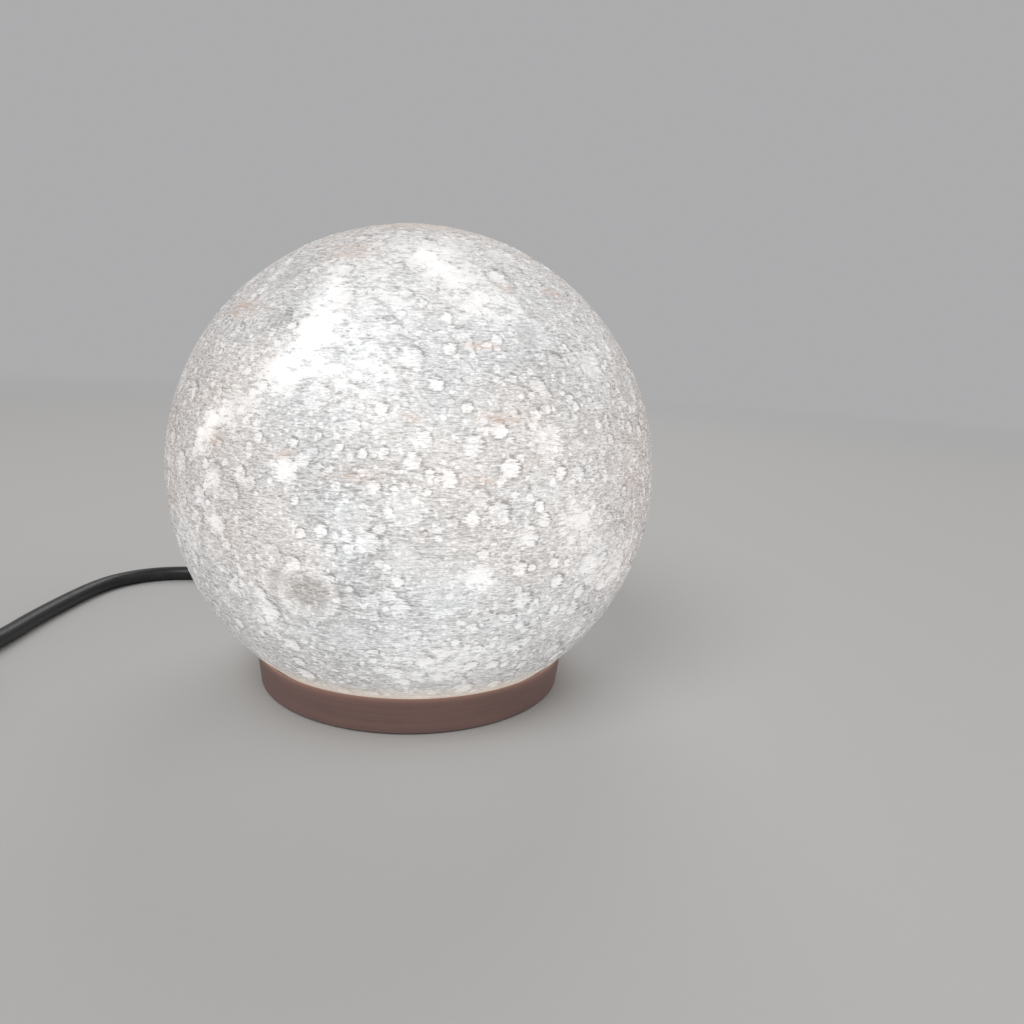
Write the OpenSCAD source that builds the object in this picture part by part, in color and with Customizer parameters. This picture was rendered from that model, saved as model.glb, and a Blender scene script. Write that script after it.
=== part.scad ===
// Lit moon globe on a low ring base, with a bulb, a lamp holder and a mains lead.
// Millimetres, +Z up. The origin is on the table, at the centre of the base.

/* [Globe] */
// Outer diameter of the globe
globe_d = 150; // [140:1:165]
// Wall of the globe
globe_wall = 2.4; // [1.6:0.2:4]
// How far the globe's rim sinks below the top of the base
seat_depth = 1.4; // [1:0.1:3]
// Gap between the globe and its seat
seat_gap = 0.3; // [0.3:0.05:0.6]
// Depth of the craters, as a share of the globe's wall
crater_depth = 0.25; // [0.1:0.05:0.4]
// Smaller craters spread round the globe
crater_count = 48; // [0:1:60]

/* [Base] */
// Outer diameter of the base at its top edge
base_d = 100.6; // [96:0.2:110]
// How far each side of the ring slopes in towards its foot
foot_slope = 1.3; // [0.5:0.1:2]
// Wall of the base ring
base_wall = 2.4; // [2:0.2:3.2]
// Thickness of the base's floor
base_floor = 1.8; // [1.6:0.1:3]
// Width of the ledge that carries the globe
seat_ledge = 1.4; // [1:0.1:2]
// Thickness of the ring's top edge
lip_t = 0.2; // [0.2:0.1:0.6]
// Diameter of a rubber foot
pad_d = 10; // [8:0.5:12]
// Height that the rubber feet stand out
pad_stand = 0.5; // [0.3:0.1:1]
// Depth of the pocket that holds a rubber foot
pad_pocket = 0.8; // [0.5:0.1:1]

/* [Lamp holder] */
// Diameter of the holder's body
holder_d = 27; // [25:0.5:30]
// Height of the holder's body above its foot
holder_h = 33; // [30:1:38]
// Diameter of the holder's foot
holder_foot_d = 44; // [43:1:48]
// Thickness of the holder's foot
holder_foot_t = 3; // [2.5:0.5:4]
// Height of the boss below the holder
boss_h = 3; // [2:0.5:4]
// Distance between the holder's two fixing screws
fixing_pitch = 36; // [34:0.5:37]

/* [Bulb] */
// Diameter of the bulb's screw cap
cap_d = 13.8; // [13.4:0.1:14]
// Diameter of the frosted ball
bulb_d = 45; // [40:1:50]
// Length of the bulb, from its contact to its top
bulb_len = 80; // [76:1:90]

/* [Lead] */
// Diameter of the mains lead
cord_d = 5.8; // [5.4:0.1:6]
// Diameter of one insulated core
core_d = 2.4; // [2:0.1:2.6]
// Length of the tapered strain relief outside the base
relief_len = 24.5; // [20:0.5:24.5]
// Distance from the centre of one coil turn to the next
coil_pitch = 6.6; // [6.6:0.1:7]
// Height from the lower layer of the coil to the upper
coil_step = 6.4; // [6.4:0.1:7]
// Radius of the coil's outermost turn
coil_r = 44.5; // [44:0.5:46]

/* [Switch] */
// Length of the switch
switch_len = 58; // [56:1:60]
// Width of the switch
switch_w = 27; // [26:0.5:30]
// Height of the switch
switch_h = 15; // [15:0.5:17]
// Wall of the switch's shells
switch_wall = 1.8; // [1.6:0.1:2]
// Tilt of the rocker either side of level
rocker_tilt = 7; // [5:0.5:8]

/* [Plug] */
// Width of the plug
plug_w = 35.3; // [34:0.1:36]
// Thickness of the plug
plug_t = 13.7; // [13:0.1:13.8]
// Length of the plug's body
plug_len = 36; // [34:1:36]
// Length of the plug's ribbed tail
tail_len = 24; // [20:1:24]
// Distance between the two pins
pin_pitch = 18.6; // [18:0.1:19.2]
// Diameter of a pin
pin_d = 4; // [3.9:0.02:4.1]
// Length of a pin
pin_len = 19; // [18.5:0.5:19.5]

/* [Hidden] */
$fn = 72;
round_fn = 144;         // large round forms
arc_fn = 360;           // shallow arcs of a large radius
eps = 0.01;
fit = 0.05;             // play of a screw, a core or a sleeve in its hole
play = 0.3;             // gap between moving pieces

// Heights of the base, worked up from the table
floor_z = pad_stand + base_floor;
neck_r = cord_d / 2 + 0.6;
exit_z = floor_z + 0.2 + neck_r;
rim_z = exit_z + neck_r + 0.5;
base_top = rim_z + seat_depth;
base_foot_d = base_d - 2 * foot_slope;
base_in_r = base_foot_d / 2 - base_wall;
ledge_r = base_in_r - seat_ledge;

// The globe, centred so that its seat reaches the ring's top edge
globe_r = globe_d / 2;
globe_in_r = globe_r - globe_wall;
seat_r = globe_r + seat_gap;
globe_z = base_top + sqrt(pow(seat_r, 2) - pow(base_d / 2 - lip_t, 2));
ledge_z = globe_z - sqrt(pow(seat_r, 2) - pow(ledge_r, 2));
ledge_t = 0.6;

// Large craters: longitude, latitude and radius
CRATERS = [
    [-111, -16, 7.4], [-92, 3, 6.4], [-73, 10, 4.6], [-75, 17, 3.6], [-58, -1, 6.2],
    [-124, 35, 5], [-85, 56, 5.2], [-87, -31, 4.4], [-80, 0, 3.2], [-106, -4, 2.8],
    [-132, 10, 3.6], [-40, 22, 6], [-25, -18, 7], [12, 8, 8], [24, 44, 5.5], [35, -24, 6],
    [62, 14, 9], [88, -8, 6.5], [104, 38, 7], [128, -14, 8.5], [150, 20, 6], [172, -30, 5],
    [-160, 12, 7.5], [-148, -24, 5.5], [70, 62, 6.5]
];
crater_floor = 0.68;

// Smaller craters along a spiral round the globe; any that would touch a large one is left out
golden = 137.5;
small_crater_r = [2.2, 3.4, 2.8, 4, 2.5];
function spread(i) = [i * golden, asin(0.95 - 1.6 * i / crater_count), small_crater_r[i % 5]];
function direction(c) = [cos(c[1]) * cos(c[0]), cos(c[1]) * sin(c[0]), sin(c[1])];
function clear_of(c, others) =
    min([for (o = others) globe_r * norm(direction(c) - direction(o)) - c[2] - o[2]]) > 1;
SMALL = crater_count == 0 ? []
    : [for (i = [0:crater_count - 1]) let (c = spread(i)) if (clear_of(c, CRATERS)) c];

// Where the lead leaves the base: a 3-4-5 direction, so the points are round
exit_angle = atan2(4, -3);
relief_r0 = 4.6;
relief_r1 = 3.6;
relief_x0 = base_d / 2 + 0.2;
relief_x1 = relief_x0 + relief_len;
relief_ribs = 5;
flange_w = 10.4;
flange_t = 1.8;
flange_x = sqrt(pow(ledge_r, 2) - pow(flange_w / 2, 2)) - 0.2 - flange_t;

// Cord clamp
clamp_x = base_d / 2 - 16.3;
clamp_len = 8;
clamp_w = 23;
clamp_ear_t = 2;
clamp_arch_t = 1.4;
clamp_screw_y = 8.2;
cradle_top = exit_z - 0.1;
clamp_z = exit_z + 0.1;
sheath_x = clamp_x - 7;

// Screws: shank and head radius, head height
screw_r = 1.45;
screw_head_r = 2.7;
screw_head_t = 1.6;

// Lamp holder, worked up from the boss
holder_z = floor_z + boss_h;
foot_top = holder_z + holder_foot_t;
holder_top = foot_top + holder_h;
chamber_h = 4.2;
deck_t = 1.2;
deck_z = foot_top + chamber_h;
shell_z = deck_z + deck_t;
shell_t = 0.5;
shell_gap = 0.5;
shell_r = cap_d / 2 + shell_gap + shell_t;
shell_top = holder_top - 2.5;
strip_t = 0.7;
strip_w = 3.4;
terminal_x = 14.2;
terminal_l = 5;
terminal_w = 5;
terminal_h = 6;
terminal_y = 6.3;
chamber_w = 2 * terminal_y + strip_w + 1;
core_z = foot_top + 3;

// Bulb, worked up from its contact
tongue_top = shell_z + 3.2;
tip_z = tongue_top + 0.1;
tip_t = 1;
insulator_t = 2.5;
cap_z = tip_z + tip_t + insulator_t - 0.3;
cap_t = 0.5;
cap_top = shell_top;
cap_r = cap_d / 2;
stem_r = cap_r - cap_t - fit;
collar_r = cap_r + 0.3;
bulb_top = tip_z + bulb_len;
ball_z = bulb_top - bulb_d / 2;
rim_r = 17;
housing_top = ball_z - sqrt(pow(bulb_d / 2, 2) - pow(rim_r, 2));
housing_z = holder_top + 1.2;
housing_t = 1.6;
glass_t = 1.2;
board_r = rim_r - 2.4;
board_t = 1.2;
board_z = housing_top - board_t - 1;
board_tab = 1.2;
led_count = 9;
led_ring_r = 9.5;
driver_w = 9;
driver_t = 1.4;

// Heights of the lead on the table
cord_r = cord_d / 2;
cord_z = 2.95;
sides = 10;
coil_sides = 6;
coil_rings = 24;

// Switch: middle of its underside, and the heights in it
switch_at = [-143, -51];
switch_cord_z = 7;
split_z = 7;
switch_arc = 75;
top_arc = 150;
pivot_z = 11.2;
rocker_r = 9;
rocker_w = 9.4;
rocker_low = 3;
rocker_mid = 4.2;
trunnion_r = 1.5;
bearing_w = 2;
bearing_y = rocker_w / 2 + play;
boss_x = 16;
boss_y = 7.2;
boss_r = 2.6;
switch_screw_r = 1.2;
switch_head_r = 2.1;
switch_head_t = 1.3;
switch_recess = 1.6;

// Plug: middle of its front face
plug_at = [-231, 44];
plug_z = 6.9;
plug_rear_w = 14;
plug_rear_t = 11;
plug_round = 4;
plug_straight = 9;
tail_r0 = 5.2;
tail_r1 = 3.7;
tail_ribs = 6;
sleeve_len = 10;
sleeve_r = pin_d / 2;
core_gap = 0.05;
pin_core_r = 1.45;

// Coil: middle, first angle, turns, and the half turn in which it climbs
coil_at = [-206, -73.5];
coil_a0 = -90;
coil_turns = 19 / 3;
half = coil_turns / 2;
climb = 0.25;
ring_count = round(coil_turns * coil_rings);

// Free lead from the strain relief to the switch
LAMP_ROUTE = [
    [-45, 60, 6], [-49.2, 65.6, 5.8], [-55, 73, 4.9], [-62, 81, 3.7], [-70, 88, 3],
    [-80, 93.5, 2.95], [-91, 96.5, 2.95], [-103, 96.8, 2.95], [-113, 94.5, 2.95],
    [-121, 89.5, 2.95], [-127.5, 81.5, 2.95], [-131.5, 71, 2.95], [-134, 59, 2.95],
    [-136, 46, 2.95], [-137.5, 33, 2.95], [-138.3, 21, 3], [-139.3, 9, 3.5],
    [-141, -3, 4.8], [-142.5, -14, 6.5], [-143, -22, 7]
];
// Lead from the switch to the coil, and from the coil to the plug
COIL_ROUTE = [
    [-143, -80, 7], [-143.2, -88, 6.3], [-146, -98, 4.8], [-152, -107, 3.6],
    [-161, -114, 3], [-172, -117.7, 2.95], [-184, -118.7, 2.95]
];
PLUG_ROUTE = [[-235, -34.5, 8.3], [-232, -25.5, 7.3]];

function unit(v) = v / norm(v);
function smooth(t) = let (u = max(0, min(1, t))) u * u * (3 - 2 * u);
function turn_fold(s) = abs(s) > climb ? abs(s) : s * s / (2 * climb) + climb / 2;
function coil_point(t) =
    let (s = t - half, a = coil_a0 - 360 * t, r = coil_r - coil_pitch * (half - turn_fold(s)))
    [coil_at[0] + r * cos(a), coil_at[1] + r * sin(a),
     cord_z + coil_step * smooth((s + climb) / (2 * climb))];
coil_t0 = unit(coil_point(0.002) - coil_point(0));
coil_t1 = unit(coil_point(coil_turns) - coil_point(coil_turns - 0.002));
coil_start = coil_point(0) - cord_d * coil_t0;
coil_end = coil_point(coil_turns) + cord_d * coil_t1;
coil_path = concat(
    [coil_start],
    [for (i = [0:ring_count]) coil_point(coil_turns * i / ring_count)],
    [coil_end]);
tail_end = [plug_at[0], plug_at[1] - plug_len - tail_len, plug_z];

// Least distance between two turns of the coil, less the lead's diameter
coil_gap = min([for (i = [0:ring_count], j = [i + coil_rings / 2:ring_count])
    norm(coil_path[i + 1] - coil_path[j + 1])]) - cord_d;
echo(str("least gap between the coil's turns: ", coil_gap, " mm"));

// Direction of a path at a point, and a ring of points square to it
function heading(p, i) =
    let (n = len(p) - 1)
    i == 0 ? unit(p[1] - p[0]) : i == n ? unit(p[n] - p[n - 1])
    : unit(unit(p[i] - p[i - 1]) + unit(p[i + 1] - p[i]));
function ring(c, d, r, n) =
    let (s = unit(cross(d, [0, 0, 1])), u = cross(s, d))
    [for (k = [0:n - 1]) c + r * (cos(90 + 360 * k / n) * s + sin(90 + 360 * k / n) * u)];

// A tube along a path; the first and last headings can be given
module tube(path, r, n, first = undef, last = undef) {
    top = len(path) - 1;
    dirs = [for (i = [0:top])
        i == 0 && first != undef ? first : i == top && last != undef ? last : heading(path, i)];
    points = [for (i = [0:top]) each ring(path[i], dirs[i], r, n)];
    walls = [for (i = [0:top - 1], k = [0:n - 1]) each
        let (a = i * n + k, b = i * n + (k + 1) % n)
        [[a, b, a + n], [b, b + n, a + n]]];
    start = [for (k = [1:n - 2]) [0, k + 1, k]];
    end = [for (k = [1:n - 2]) [top * n, top * n + k, top * n + k + 1]];
    polyhedron(points, concat(walls, start, end));
}

module at_exit() {
    rotate([0, 0, exit_angle]) children();
}

module along_x(x0, x1, r, z) {
    translate([x0, 0, z]) rotate([0, 90, 0]) cylinder(r = r, h = x1 - x0);
}

module pan_screw(z, length, r = screw_r, head_r = screw_head_r, head_t = screw_head_t) {
    translate([0, 0, z - length]) cylinder(r = r, h = length + head_t / 2);
    translate([0, 0, z]) cylinder(r1 = head_r, r2 = head_r * 0.72, h = head_t);
}

// ---- Base ----

module base_profile() {
    polygon([
        [0, pad_stand], [base_foot_d / 2, pad_stand], [base_d / 2, base_top],
        [ledge_r, base_top], [ledge_r, ledge_z - ledge_t],
        [base_in_r, ledge_z - ledge_t - seat_ledge], [base_in_r, floor_z], [0, floor_z]
    ]);
}

module pad_places() {
    for (a = [45:90:315]) rotate([0, 0, a]) translate([base_foot_d / 2 - 11, 0, 0]) children();
}

module base_tray() color("#6d5850") {
    difference() {
        union() {
            rotate_extrude() base_profile();
            translate([0, 0, floor_z - eps]) cylinder(d = holder_foot_d + 2, h = boss_h + eps);
            at_exit() translate([clamp_x - clamp_len / 2, -clamp_w / 2, floor_z - eps])
                cube([clamp_len, clamp_w, cradle_top - floor_z + eps]);
        }
        intersection() {
            translate([0, 0, globe_z]) sphere(r = seat_r, $fn = round_fn);
            translate([0, 0, ledge_z - ledge_t / 2]) cylinder(d = base_d + 2, h = base_top);
        }
        at_exit() {
            along_x(flange_x + flange_t, relief_x1, neck_r, exit_z);
            along_x(clamp_x - clamp_len, clamp_x + clamp_len, cord_r + fit, exit_z);
            for (s = [-1, 1]) {
                translate([clamp_x, s * clamp_screw_y, floor_z])
                    cylinder(r = screw_r + fit, h = clamp_len);
                translate([0, s * fixing_pitch / 2, floor_z - 0.6])
                    cylinder(r = screw_r + fit, h = boss_h + 1);
            }
        }
        pad_places() cylinder(d = pad_d + 0.2, h = pad_stand + pad_pocket);
    }
}

module rubber_feet() color("#26262a") {
    pad_places() {
        cylinder(d1 = pad_d - 0.8, d2 = pad_d, h = 0.4);
        translate([0, 0, 0.4]) cylinder(d = pad_d, h = pad_stand + pad_pocket - 0.4);
    }
}

// ---- Lead entry ----

module cord_grommet() color("#18181a") {
    rib = (relief_x1 - relief_x0 - 4) / relief_ribs;
    at_exit() difference() {
        union() {
            translate([flange_x, -flange_w / 2, floor_z + 0.1])
                cube([flange_t, flange_w, 2 * neck_r]);
            along_x(flange_x + flange_t - eps, relief_x0 + 1, neck_r - fit, exit_z);
            translate([relief_x0, 0, exit_z]) rotate([0, 90, 0])
                cylinder(r1 = relief_r0, r2 = relief_r1, h = relief_x1 - relief_x0);
        }
        along_x(flange_x - 1, relief_x1 + 1, cord_r + fit, exit_z);
        for (i = [0:relief_ribs - 1])
            translate([relief_x0 + 4 + i * rib, 0, exit_z]) rotate([0, 90, 0])
                difference() {
                    cylinder(r = relief_r0 + 1, h = 1.3);
                    translate([0, 0, -1]) cylinder(r = cord_r + 0.35, h = 4);
                }
    }
}

module lead_in() color("#1c1c1e") {
    at_exit() along_x(sheath_x, relief_x1, cord_r, exit_z);
}

module clamp_bar() color("#6d5850") {
    at_exit() difference() {
        union() {
            translate([clamp_x - clamp_len / 2, -clamp_w / 2, clamp_z])
                cube([clamp_len, clamp_w, clamp_ear_t]);
            intersection() {
                along_x(clamp_x - clamp_len / 2, clamp_x + clamp_len / 2,
                        cord_r + clamp_arch_t, exit_z);
                translate([0, -clamp_w, clamp_z]) cube([2 * clamp_x, 2 * clamp_w, clamp_w]);
            }
        }
        along_x(0, 2 * clamp_x, cord_r + fit, exit_z);
        for (s = [-1, 1]) translate([clamp_x, s * clamp_screw_y, 0])
            cylinder(r = screw_r + fit, h = 3 * exit_z);
    }
}

module clamp_screws() color("#b9bcc0") {
    at_exit() for (s = [-1, 1]) translate([clamp_x, s * clamp_screw_y, 0])
        pan_screw(clamp_z + clamp_ear_t, clamp_z + clamp_ear_t - floor_z - 0.2);
}

module core_wire(side) {
    end_x = terminal_x + terminal_l;
    step = (sheath_x - end_x) / 7.8;
    at_exit() tube([
        [sheath_x, side * 1.35, exit_z], [sheath_x - 1.5 * step, side * 1.5, exit_z + 0.4],
        [sheath_x - 3.2 * step, side * 2.6, exit_z + 1.8],
        [sheath_x - 4.8 * step, side * 4.6, core_z - 1],
        [end_x + 1.6 * step, side * 6, core_z], [end_x, side * terminal_y, core_z]
    ], core_d / 2, 8, [-1, 0, 0], [-1, 0, 0]);
}

module wire_live() color("#6b4020") core_wire(-1);

module wire_neutral() color("#2c4f9e") core_wire(1);

// ---- Lamp holder ----

module holder_profile() {
    r = holder_d / 2;
    foot = holder_foot_d / 2;
    polygon([
        [0, holder_z], [foot, holder_z], [foot, foot_top - 0.8], [foot - 0.8, foot_top],
        [r + 1, foot_top], [r, foot_top + 1.5], [r, holder_top - 6], [r - 0.7, holder_top - 5.6],
        [r - 0.7, holder_top - 1.2], [r - 1.9, holder_top], [0, holder_top]
    ]);
}

module holder_body() color("#e6e3dc") {
    at_exit() difference() {
        union() {
            difference() {
                rotate_extrude() holder_profile();
                translate([-strip_w, -chamber_w / 2, foot_top])
                    cube([holder_d, chamber_w, chamber_h]);
            }
            translate([6, -0.8, foot_top - eps]) cube([13, 1.6, chamber_h + eps]);
        }
        translate([0, 0, shell_z]) cylinder(r = shell_r + fit, h = holder_h);
        translate([0, 0, holder_top - 1.2]) cylinder(r1 = shell_r, r2 = shell_r + 1.4, h = 1.3);
        translate([-strip_w / 2 - 0.3, -strip_w / 2 - 0.3, foot_top])
            cube([strip_w + 0.6, strip_w + 0.6, holder_h]);
        translate([1.6, terminal_y - 1.2, foot_top]) cube([3.4, 2.4, holder_h / 3]);
        for (s = [-1, 1]) translate([0, s * fixing_pitch / 2, 0])
            cylinder(r = screw_r + fit, h = holder_top);
    }
}

module holder_screws() color("#b9bcc0") {
    at_exit() for (s = [-1, 1]) translate([0, s * fixing_pitch / 2, 0])
        pan_screw(foot_top, holder_foot_t + boss_h + 0.4);
}

module terminal(side) {
    difference() {
        translate([terminal_x, side * terminal_y - terminal_w / 2, foot_top])
            cube([terminal_l, terminal_w, terminal_h]);
        translate([terminal_x + terminal_l / 2, side * terminal_y, core_z + core_d / 2])
            cylinder(r = 1.3 + fit, h = terminal_h);
    }
}

module live_contact() color("#c9a24a") {
    z = foot_top + 2;
    at_exit() union() {
        terminal(-1);
        translate([-strip_w / 2, -terminal_y - strip_w / 2, z])
            cube([terminal_x + strip_w / 2 + eps, strip_w, strip_t]);
        translate([-strip_w / 2, -terminal_y, z]) cube([strip_w, terminal_y + strip_w / 2, strip_t]);
        translate([-strip_w / 2, strip_w / 2 - strip_t, z])
            cube([strip_w, strip_t, tongue_top - 0.8 - z]);
        translate([-strip_w / 2, -strip_w / 2, tongue_top - 0.8]) cube([strip_w, strip_w, 0.8]);
    }
}

module neutral_contact() color("#c9a24a") {
    z = foot_top + 2;
    at_exit() union() {
        terminal(1);
        translate([2, terminal_y - 1, z]) cube([terminal_x - 2 + eps, 2, strip_t]);
        translate([2, terminal_y - 0.4, z]) cube([2.6, 0.8, shell_z - z]);
    }
}

module screw_shell() color("#c9a24a") {
    difference() {
        translate([0, 0, shell_z]) cylinder(r = shell_r, h = shell_top - shell_z);
        translate([0, 0, shell_z + shell_t]) cylinder(r = shell_r - shell_t, h = holder_h);
        translate([0, 0, shell_z - 1]) cylinder(r = shell_r - 2.6, h = holder_h);
    }
}

module terminal_screws() color("#b9bcc0") {
    at_exit() for (s = [-1, 1])
        translate([terminal_x + terminal_l / 2, s * terminal_y, 0])
            pan_screw(foot_top + terminal_h, foot_top + terminal_h - core_z - core_d / 2 - fit,
                      1.3, 2, 1.3);
}

// ---- Globe ----

// Frustum square to the globe's surface, given by the radius at each end and their heights
module on_surface(r0, z0, r1, z1) {
    translate([0, 0, z0]) cylinder(r1 = r0, r2 = r1, h = z1 - z0, $fn = 36);
}

module toward(lon, lat) {
    rotate([0, 90 - lat, lon]) children();
}

function surface_z(r) = sqrt(pow(globe_r, 2) - pow(r, 2));
function pit_depth(r) = min(crater_depth * globe_wall, 0.12 * r);

// A crater's flat floor and sloping wall, as the piece that is cut away
module crater_pit(r) {
    depth = pit_depth(r);
    edge = surface_z(r);
    over = globe_r - edge + 0.3;
    slope = (1 - crater_floor) * r / depth;
    on_surface(crater_floor * r, edge - depth, r + slope * over, edge + over);
}

module moon_globe() color("#f4f2ec") {
    translate([0, 0, globe_z]) difference() {
        sphere(r = globe_r, $fn = round_fn);
        sphere(r = globe_in_r, $fn = round_fn);
        translate([0, 0, rim_z - globe_z - globe_d]) cylinder(r = globe_d, h = globe_d);
        for (c = CRATERS) toward(c[0], c[1]) crater_pit(c[2]);
        for (c = SMALL) toward(c[0], c[1]) crater_pit(c[2]);
    }
}

// ---- Bulb ----

module bulb_contact() color("#b9bcc0") {
    rotate_extrude() polygon([
        [0, tip_z], [1.6, tip_z], [2.4, tip_z + 0.5], [2.4, tip_z + tip_t],
        [1, tip_z + tip_t], [1, tip_z + tip_t + insulator_t - 0.4],
        [0, tip_z + tip_t + insulator_t - 0.4]
    ]);
}

module bulb_insulator() color("#17171a") {
    z = tip_z + tip_t;
    r = cap_r - cap_t - play;
    rotate_extrude() polygon([
        [1 + fit, z], [3.2, z], [r, cap_z - 0.1], [r, z + insulator_t], [1 + fit, z + insulator_t]
    ]);
}

module bulb_cap() color("#c3c5c8") {
    rotate_extrude() polygon([
        [cap_r - cap_t, cap_z], [cap_r - cap_t + 0.1, cap_z], [cap_r, cap_z + 1.2],
        [cap_r, cap_top], [cap_r - cap_t, cap_top]
    ]);
}

// Outside of the housing, from its collar up to the ball's rim
function housing_r(t) = collar_r + (rim_r - collar_r) * (0.35 * t + 0.65 * sin(90 * t));

module bulb_housing() color("#f1f1ef") {
    steps = 10;
    z0 = housing_z;
    inner = tip_z + tip_t + insulator_t + play;
    rotate_extrude() polygon(concat(
        [[stem_r - 1.4, inner], [stem_r, inner], [stem_r, cap_top + fit], [collar_r, cap_top + fit]],
        [for (i = [0:steps])
            [housing_r(i / steps), z0 + (housing_top - z0) * i / steps]],
        [[rim_r - housing_t, housing_top]],
        [for (i = [steps - 1:-1:1])
            [max(stem_r - 1.4, housing_r(i / steps) - housing_t),
             z0 + (housing_top - z0) * i / steps]],
        [[stem_r - 1.4, z0]]
    ));
}

module driver_board() color("#3f7a4a") {
    z0 = tip_z + tip_t + insulator_t + 2;
    translate([-driver_w / 2, -driver_t / 2, z0])
        cube([driver_w, driver_t, board_z - board_tab - z0]);
}

module led_board() color("#e9e9ea") {
    z = board_z;
    difference() {
        translate([0, 0, z]) cylinder(r = board_r, h = board_t);
        translate([0, 0, z - 1]) cylinder(r = 1.6, h = 4);
    }
    translate([-driver_w / 2, -driver_t / 2, z - board_tab])
        cube([driver_w, driver_t, board_tab + eps]);
}

module leds() color("#f0dc7a") {
    for (i = [0:led_count - 1]) rotate([0, 0, i * 360 / led_count])
        translate([led_ring_r - 1.4, -1.75, board_z + board_t]) cube([2.8, 3.5, 0.7]);
}

module bulb_diffuser() color("#fbfbf6") {
    difference() {
        translate([0, 0, ball_z]) difference() {
            sphere(d = bulb_d);
            sphere(r = bulb_d / 2 - glass_t);
        }
        translate([0, 0, housing_top - bulb_d]) cylinder(r = bulb_d, h = bulb_d);
    }
}

// ---- Switch on the lead ----

module at_switch() {
    translate([switch_at[0], switch_at[1], 0]) rotate([0, 0, -90]) children();
}

// The switch's bulging block, drawn in by inset
module switch_solid(inset) {
    arc = switch_arc - inset;
    intersection() {
        translate([-switch_len / 2 + inset, -switch_w, inset])
            cube([switch_len - 2 * inset, 2 * switch_w, switch_h - 2 * inset]);
        translate([0, switch_arc - switch_w / 2, 0])
            cylinder(r = arc, h = switch_h, $fn = arc_fn);
        translate([0, switch_w / 2 - switch_arc, 0])
            cylinder(r = arc, h = switch_h, $fn = arc_fn);
        translate([0, switch_w, switch_h - top_arc]) rotate([90, 0, 0])
            cylinder(r = top_arc - inset, h = 2 * switch_w, $fn = arc_fn);
    }
}

module below_split(z) {
    translate([-switch_len, -switch_w, z - 2 * switch_h])
        cube([2 * switch_len, 2 * switch_w, 2 * switch_h]);
}

module switch_lead_hole() {
    along_x(-switch_len, -rocker_r - 4, cord_r + fit, switch_cord_z);
    along_x(rocker_r + 4, switch_len, cord_r + fit, switch_cord_z);
}

module screw_places() {
    for (s = [-1, 1]) translate([s * boss_x, s * boss_y, 0]) children();
}

module switch_bottom() color("#202022") {
    at_switch() difference() {
        intersection() {
            union() {
                difference() {
                    switch_solid(0);
                    switch_solid(switch_wall);
                }
                screw_places() translate([0, 0, switch_wall - eps])
                    cylinder(r = boss_r, h = split_z - switch_wall + eps);
            }
            below_split(split_z);
            switch_solid(0);
        }
        switch_lead_hole();
        screw_places() {
            cylinder(r = switch_screw_r + fit, h = switch_h);
            translate([0, 0, -eps]) cylinder(r = switch_head_r + 0.2, h = switch_recess + eps);
        }
    }
}

module switch_top() color("#202022") {
    slot_r = sqrt(pow(rocker_r, 2) - pow(switch_h - switch_wall - pivot_z, 2)) + play;
    at_switch() difference() {
        union() {
            difference() {
                switch_solid(0);
                switch_solid(switch_wall);
            }
            intersection() {
                union() {
                    screw_places() translate([0, 0, split_z]) cylinder(r = boss_r, h = switch_h);
                    for (s = [-1, 1])
                        translate([-trunnion_r - 1.2, s * (bearing_y + bearing_w / 2) - bearing_w / 2,
                                   pivot_z - trunnion_r - 1])
                            cube([2 * trunnion_r + 2.4, bearing_w, switch_h]);
                }
                switch_solid(switch_wall / 2);
            }
        }
        below_split(split_z);
        switch_lead_hole();
        translate([-slot_r, -bearing_y, pivot_z - rocker_low - 2])
            cube([2 * slot_r, 2 * bearing_y, switch_h]);
        translate([0, bearing_y + bearing_w + 1, pivot_z]) rotate([90, 0, 0])
            cylinder(r = trunnion_r + fit, h = 2 * (bearing_y + bearing_w + 1));
        screw_places() cylinder(r = switch_screw_r + fit, h = switch_h - switch_wall - 1);
    }
}

module switch_screws() color("#b9bcc0") {
    at_switch() screw_places() {
        translate([0, 0, switch_recess - switch_head_t])
            cylinder(r = switch_head_r, h = switch_head_t);
        translate([0, 0, switch_recess - eps])
            cylinder(r = switch_screw_r, h = switch_h - switch_wall - 2 - switch_recess);
    }
}

module switch_contacts() color("#c9a24a") {
    at_switch() for (s = [-1, 1]) {
        translate([s * 13 - 2.5, -s * 6 - 2, switch_wall]) cube([5, 4, 4]);
        translate([min(s * 13, s * 3), -s * 6 - 1, switch_wall]) cube([10, 2, 0.6]);
    }
}

module switch_rocker() color("#2b2b2e") {
    rise = rocker_r * tan(rocker_tilt);
    at_switch() translate([0, 0, pivot_z]) rotate([0, rocker_tilt, 0]) union() {
        intersection() {
            translate([0, rocker_w / 2, 0]) rotate([90, 0, 0]) cylinder(r = rocker_r, h = rocker_w);
            translate([0, rocker_w / 2, 0]) rotate([90, 0, 0]) linear_extrude(rocker_w) polygon([
                [-rocker_r, -rocker_low], [rocker_r, -rocker_low],
                [rocker_r, rocker_mid + rise], [0, rocker_mid], [-rocker_r, rocker_mid + rise]
            ]);
        }
        translate([0, bearing_y + bearing_w - 0.2, 0]) rotate([90, 0, 0])
            cylinder(r = trunnion_r, h = 2 * (bearing_y + bearing_w - 0.2));
    }
}

// ---- Free lead ----

module lamp_lead() color("#1c1c1e") {
    tube(LAMP_ROUTE, cord_r, sides, [cos(exit_angle), sin(exit_angle), 0], [0, -1, 0]);
}

module coil_lead() color("#1c1c1e") {
    tube(concat(COIL_ROUTE, [coil_start]), cord_r, sides, [0, -1, 0], coil_t0);
}

module cord_coil() color("#1c1c1e") {
    tube(coil_path, cord_r, coil_sides, coil_t0, coil_t1);
}

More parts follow.
